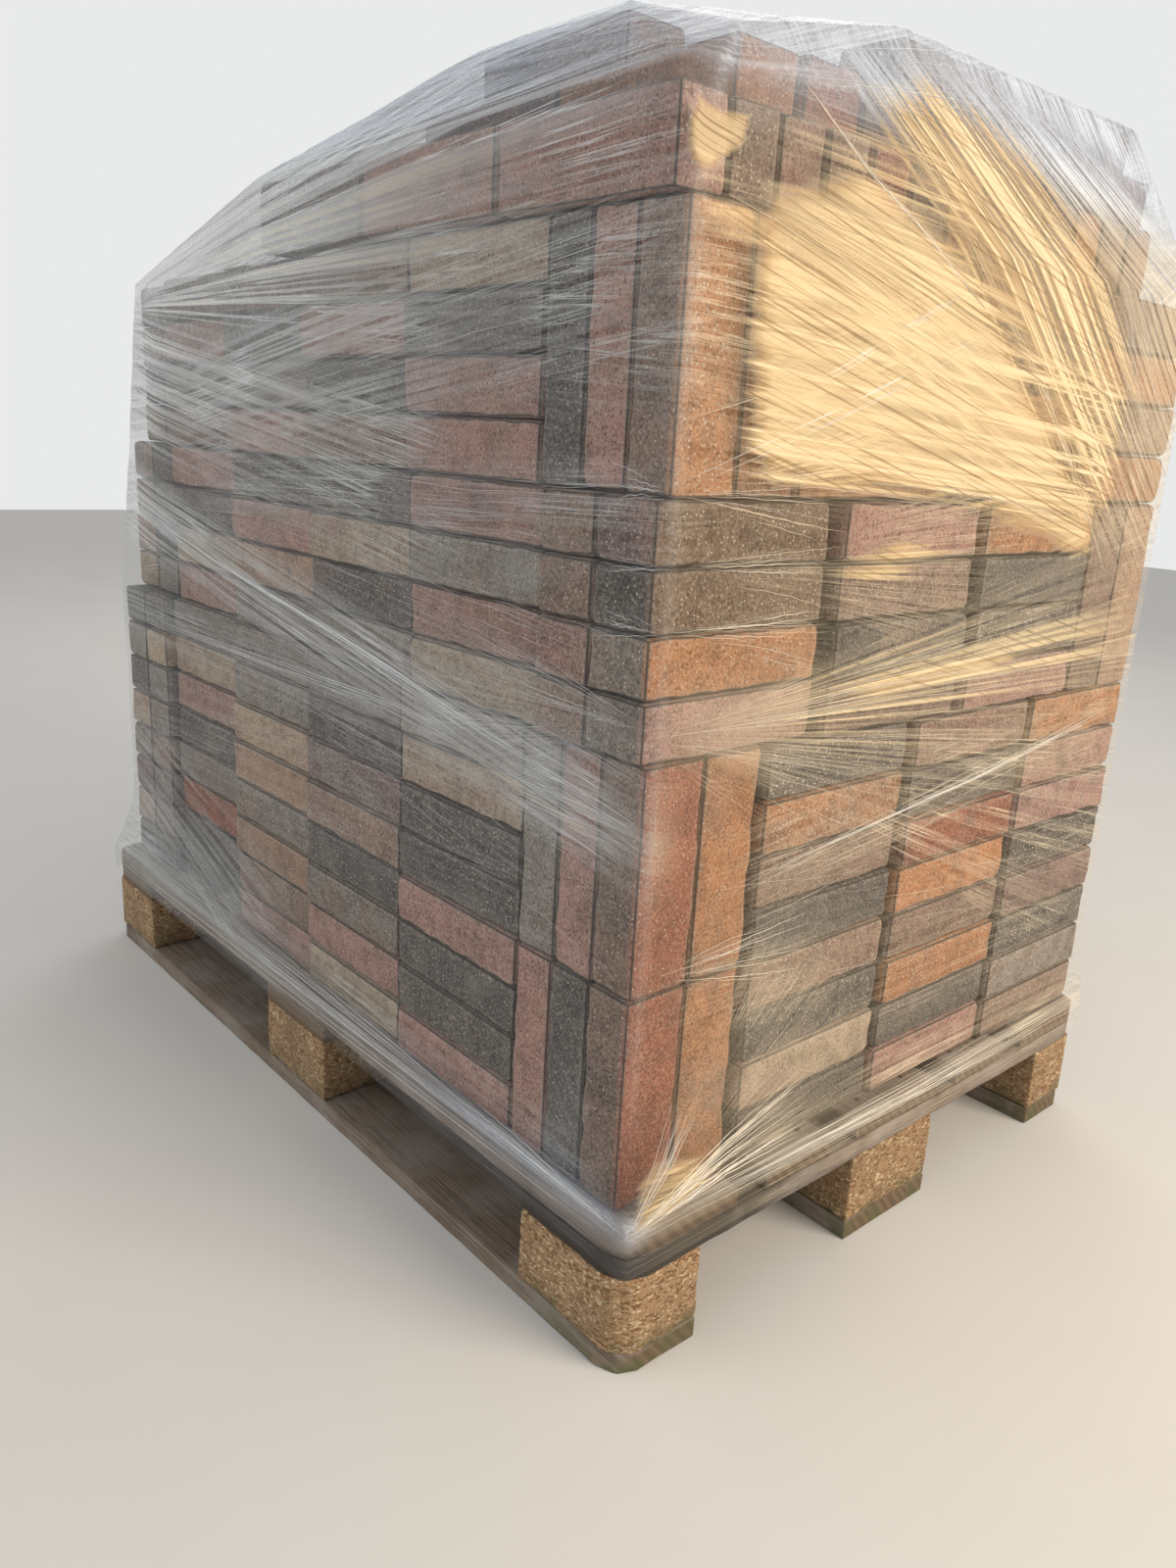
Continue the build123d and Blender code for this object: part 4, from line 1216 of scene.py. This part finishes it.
# Threads and ropes of folded film. Each bundle has its path, as distances along the wrap and up in turn,
# and how far it spreads on either side at its start and at its end, in millimetres. Then come how many
# threads it has, how thick they are compared with a fine one, how much of the way each of them runs, and
# how much painted sunlight turns them golden.
CREASE_BUNDLES = (
    ((-1120, 686, -954, 652, -795, 625, -536, 592, -370, 568, -246, 545, -126, 528, -12, 510),
     (3, 10), 13, 1.6, (0.35, 0.9), 0.0),
    ((-1120, 680, -795, 620, -370, 560, -10, 505), (30, 40), 44, 0.65, (0.12, 0.45), 0.0),
    ((-1120, 520, -800, 526, -609, 530, -369, 533, -246, 522, -125, 501, -10, 470), (3, 10), 8, 1.3,
      (0.3, 0.8), 0.0),
    ((-1120, 530, -609, 530, -246, 515, -10, 460), (15, 45), 34, 0.55, (0.12, 0.4), 0.0),
    ((-600, 500, -50, 430), (30, 50), 40, 0.5, (0.06, 0.25), 0.0),
    ((-1120, 590, -980, 610), (22, 30), 9, 0.9, (0.5, 1.0), 0.0),
    ((-1120, 955, -700, 990, -350, 1030), (3, 75), 56, 0.6, (0.15, 0.6), 0.0),
    ((-850, 840, -50, 945), (50, 60), 80, 0.6, (0.08, 0.35), 0.0),
    ((-1120, 870, -674, 816, -423, 781, -250, 775), (60, 35), 44, 0.65, (0.12, 0.4), 0.0),
    ((-800, 735, -50, 760), (30, 40), 60, 0.6, (0.08, 0.3), 0.0),
    ((-700, 690, -50, 640), (30, 50), 50, 0.55, (0.06, 0.25), 0.0),
    ((-1000, 420, -200, 450), (50, 100), 16, 0.4, (0.06, 0.2), 0.0),
    ((-1160, 148, -10, 152), (22, 10), 30, 0.8, (0.3, 0.9), 0.0),
    ((-1160, 190, -10, 160), (30, 6), 18, 0.5, (0.2, 0.7), 0.0),
    ((0, 156, -220, 163), (2, 16), 16, 0.9, (0.4, 1.0), 0.0),
    ((0, 978, 200, 945, 420, 875), (3, 60), 46, 0.6, (0.15, 0.6), 0.8),
    ((-5, 820, 160, 862, 340, 945), (6, 8), 8, 1.0, (0.4, 1.0), 0.2),
    ((-5, 775, 200, 845, 400, 920), (4, 6), 6, 1.0, (0.4, 1.0), 0.2),
    ((10, 790, 300, 785, 620, 750), (12, 30), 30, 0.6, (0.15, 0.5), 0.5),
    ((140, 1115, 181, 1096, 277, 1037, 348, 967, 492, 869, 653, 719, 700, 660), (3, 3), 8, 1.6,
      (0.8, 1.0), 0.45),
    ((90, 1085, 188, 1017, 289, 966, 370, 930), (3, 2), 6, 1.4, (0.8, 1.0), 0.45),
    ((250, 1110, 450, 990, 700, 760), (55, 80), 60, 0.6, (0.15, 0.5), 0.6),
    ((400, 1130, 600, 1020, 785, 800), (50, 50), 40, 0.6, (0.15, 0.5), 0.1),
    ((0, 592, 300, 600, 800, 600), (3, 65), 66, 0.7, (0.1, 0.5), 0.6),
    ((0, 585, 300, 520, 600, 470), (3, 60), 40, 0.6, (0.1, 0.5), 0.6),
    ((0, 580, 325, 402), (3, 40), 18, 0.5, (0.1, 0.4), 0.5),
    ((0, 592, -200, 600), (3, 50), 16, 0.6, (0.3, 0.9), 0.0),
    ((120, 445, 169, 455, 479, 490, 681, 520, 780, 540), (3, 7), 10, 1.3, (0.3, 0.9), 0.2),
    ((100, 430, 479, 485, 780, 530), (25, 40), 22, 0.6, (0.1, 0.4), 0.4),
    ((0, 771, 200, 768), (2, 40), 15, 0.95, (0.3, 0.9), 0.6),
    ((0, 718, 200, 712), (2, 36), 13, 0.95, (0.3, 0.9), 0.6),
    ((0, 670, 200, 660), (2, 36), 13, 0.95, (0.3, 0.9), 0.6),
    ((0, 385, 220, 375), (2, 45), 14, 0.95, (0.3, 0.9), 0.5),
    ((0, 771, -75, 771), (2, 20), 6, 0.6, (0.4, 1.0), 0.0),
    ((0, 718, -70, 722), (2, 20), 6, 0.6, (0.4, 1.0), 0.0),
    ((0, 670, -70, 676), (2, 20), 6, 0.6, (0.4, 1.0), 0.0),
    ((0, 420, 800, 320), (60, 80), 24, 0.45, (0.08, 0.3), 0.4),
    ((0, 153, 120, 182, 240, 200), (2, 35), 30, 1.4, (0.4, 1.0), 0.45),
    ((0, 156, 40, 200, 70, 250), (2, 30), 14, 0.8, (0.5, 1.0), 0.3),
    ((0, 152, 400, 147, 800, 150), (8, 22), 36, 0.9, (0.3, 0.9), 0.35),
    ((-900, 1040, -300, 1120), (40, 30), 22, 0.6, (0.2, 0.6), 0.0),
    ((50, 1090, 600, 1150), (30, 60), 30, 0.6, (0.2, 0.6), 0.0),
    ((860, 550, 1950, 570), (380, 340), 60, 0.9, (0.1, 0.4), 0.0),
    ((2000, 550, 2750, 560), (380, 340), 50, 0.9, (0.1, 0.4), 0.0),
)


def folds(start):
    """A small three-sided fold along each line, as thick as the line's points say."""
    thickness = add_node(start.tree, "GeometryNodeInputNamedAttribute", {"Name": "thickness"},
                         data_type="FLOAT")
    line = add_node(start.tree, "GeometryNodeMeshToCurve", {0: start})
    outline = add_node(start.tree, "GeometryNodeCurvePrimitiveCircle", {"Resolution": 3, "Radius": 1.0})
    return add_node(start.tree, "GeometryNodeCurveToMesh", {
        "Curve": line, "Profile Curve": outline, "Scale": thickness * start["Half width"],
        "Fill Caps": True})


class PALLET_OT_crease_film(bpy.types.Operator):
    """Draw the folded threads that run from the corners where the film is pulled"""
    bl_idname = "pallet.crease_film"
    bl_label = "Crease film"

    def execute(self, context):
        s = settings("film")
        shape = FilmShape()
        chance = np.random.default_rng(8)
        taper = np.sin(math.pi * np.linspace(0.03, 0.97, THREAD_POINTS)) ** 0.7
        steps, ups, thickness, sunlit_part = [], [], [], []
        for path, spread, count, weight, spans, sunlit_share in CREASE_BUNDLES:
            path, spread = pairs(path), np.array(spread) * MM
            gone = np.append(0, np.cumsum(np.linalg.norm(np.diff(path, axis=0), axis=1)))
            turn = (path[-1] - path[0]) / np.linalg.norm(path[-1] - path[0])
            for _ in range(count):
                side = np.clip(chance.normal(0, 0.5), -1, 1)
                span = chance.uniform(*spans)
                first = chance.uniform(0.0, 1.0 - span)
                t = np.linspace(first, first + span, THREAD_POINTS)
                sway = side * (spread[0] + (spread[1] - spread[0]) * t)
                sway = sway + chance.normal(0, 0.0015) * np.sin(math.pi * (t - first) / span)
                sway = sway + 0.0005 * np.sin(t * chance.uniform(25, 60) + chance.uniform(0, 6))
                along, up = (np.interp(t * gone[-1], gone, path[:, axis]) for axis in (0, 1))
                steps.append(along - sway * turn[1])
                ups.append(np.maximum(up + sway * turn[0], shape.rim + 0.003))
                thickness.append(taper * weight * chance.uniform(0.35, 1.15) ** 1.4)
                sunlit_part.append(np.full(THREAD_POINTS, sunlit_share * chance.uniform(0.5, 1.3)))
        edges = [(k, k + 1) for k in range(len(steps) * THREAD_POINTS - 1) if (k + 1) % THREAD_POINTS]
        steps, ups, sunlit_part = np.concatenate(steps), np.concatenate(ups), np.concatenate(sunlit_part)[:, None]
        # Threads on the sunny end are painted golden with painted sunlight.
        tint = np.clip(np.array(linear("#E8EAEA")) * (1 - sunlit_part) + np.array(s.sunlit_straw) * sunlit_part, 0, 1)
        spots, facing = shape.place(steps, ups)
        folded = creased_film()
        creases = build_object("film_creases", spots + facing * (s.wrinkle * 0.7), [], folded, edges,
                               thickness=np.concatenate(thickness),
                               tint=np.column_stack([tint, np.ones(len(tint))]))
        grow(creases, "film creases", folded, {"Half width": s.crease}, folds)
        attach(creases, "root")
        return {"FINISHED"}


# The camera that took the photo: where it stood, and the directions of its three axes.
CAMERA_PLACE = (1.1972, -1.0039, 0.8082)
CAMERA_RIGHT = (0.6526, 0.7559, 0.0524)
CAMERA_UP = (-0.2488, 0.1484, 0.9572)
CAMERA_BACK = (0.7157, -0.6377, 0.2849)
FOCAL_PIXELS = 1196.7
FRAME_HEIGHT = 1600
# The large square lamps: where each hangs, what it is aimed at, its size, which of the stage's
# settings gives its power, and its colour as linear numbers.
LAMPS = {
    "key_lamp": ((3.0, 0.7, 1.9), (0.1, 0.0, 0.5), 1.8, "key", (1.0, 0.86, 0.70)),
    "fill_lamp": ((-0.8, -3.2, 2.2), (0.0, 0.0, 0.5), 2.6, "fill", (0.93, 0.97, 1.0)),
    "back_lamp": ((-2.4, 2.6, 2.6), (0.0, 0.0, 0.6), 2.4, "fill", (1.0, 1.0, 1.0)),
}


class PALLET_OT_set_stage(bpy.types.Operator):
    """Set up the floor, the lamps, the surroundings and the camera"""
    bl_idname = "pallet.set_stage"
    bl_label = "Set stage"

    def execute(self, context):
        s = settings("stage")
        scene = context.scene
        scene.view_settings.view_transform = "Standard"
        floor = build_object("floor", [(-9, -9, 0), (9, -9, 0), (9, 9, 0), (-9, 9, 0)], [(0, 1, 2, 3)],
                             pale_screed())
        for name, (place, target, size, power, tint) in LAMPS.items():
            lamp = bpy.data.lights.new(name, "AREA")
            lamp.size, lamp.energy, lamp.color = size, getattr(s, power), tint
            back = np.array(place) - target
            side = np.cross((0.0, 0.0, 1.0), back)
            self.hang(name, lamp, place, side, np.cross(back, side), back)
        self.set_world(scene, s)

        lens = bpy.data.cameras.new("camera")
        lens.sensor_fit = "VERTICAL"
        lens.sensor_height = 36.0
        lens.lens = FOCAL_PIXELS / FRAME_HEIGHT * lens.sensor_height
        lens.clip_start = 0.02
        scene.camera = self.hang("camera", lens, CAMERA_PLACE, CAMERA_RIGHT, CAMERA_UP, CAMERA_BACK)
        return {"FINISHED"}

    def hang(self, name, data, place, *axes):
        """Puts a lamp or a camera at a place, with its own axes in those directions."""
        carrier = bpy.data.objects.new(name, data)
        bpy.context.scene.collection.objects.link(carrier)
        turn = Matrix([np.array(axis) / np.linalg.norm(axis) for axis in axes]).transposed()
        carrier.matrix_world = Matrix.Translation(place) @ turn.to_quaternion().to_matrix().to_4x4()
        return carrier

    def set_world(self, scene, s):
        """Even light all round, and a pale backdrop for what the camera and clear things see."""
        scene.world = bpy.data.worlds.new("studio")
        scene.world.use_nodes = True
        tree = scene.world.node_tree
        tree.nodes.clear()
        path = add_node(tree, "ShaderNodeLightPath", output="Is Camera Ray")
        even, behind = (
            add_node(tree, "ShaderNodeBackground", {"Color": (*shade, 1.0), "Strength": strength})
            for shade, strength in (((1.0, 1.0, 1.0), s.ambient), (s.backdrop, 1.0)))
        mixed = add_node(tree, "ShaderNodeMixShader", {
            0: path.most(path["Is Transmission Ray"]), 1: even, 2: behind})
        add_node(tree, "ShaderNodeOutputWorld", {0: mixed})


GROUPS = {"bricks": BrickSettings, "pallet": PalletSettings, "film": FilmSettings,
          "stage": StageSettings}
STEPS = (PALLET_OT_set_stage, PALLET_OT_lay_bricks, PALLET_OT_saw_boards, PALLET_OT_press_blocks,
         PALLET_OT_drive_nails, PALLET_OT_wrap_film, PALLET_OT_crease_film)


class VIEW3D_PT_pallet(bpy.types.Panel):
    """The pallet's settings and steps"""
    bl_label = "Pallet of bricks"
    bl_space_type = "VIEW_3D"
    bl_region_type = "UI"
    bl_category = "Pallet"

    def draw(self, context):
        for name, group in GROUPS.items():
            box = self.layout.box()
            box.label(text=name.capitalize())
            for key in group.__annotations__:
                box.prop(getattr(context.scene, name), key)
        for step in STEPS:
            self.layout.operator(step.bl_idname)


CLASSES = (*GROUPS.values(), *STEPS, VIEW3D_PT_pallet)


def register():
    """Adds the settings, the steps and the panel."""
    for item in CLASSES:
        bpy.utils.register_class(item)
    for name, group in GROUPS.items():
        setattr(bpy.types.Scene, name, PointerProperty(type=group))


def unregister():
    """Takes them away again."""
    for name in GROUPS:
        delattr(bpy.types.Scene, name)
    for item in CLASSES:
        bpy.utils.unregister_class(item)


def main():
    """Builds everything in order."""
    register()
    for step in STEPS:
        group, name = step.bl_idname.split(".")
        getattr(getattr(bpy.ops, group), name)()


if __name__ == "__main__":
    main()
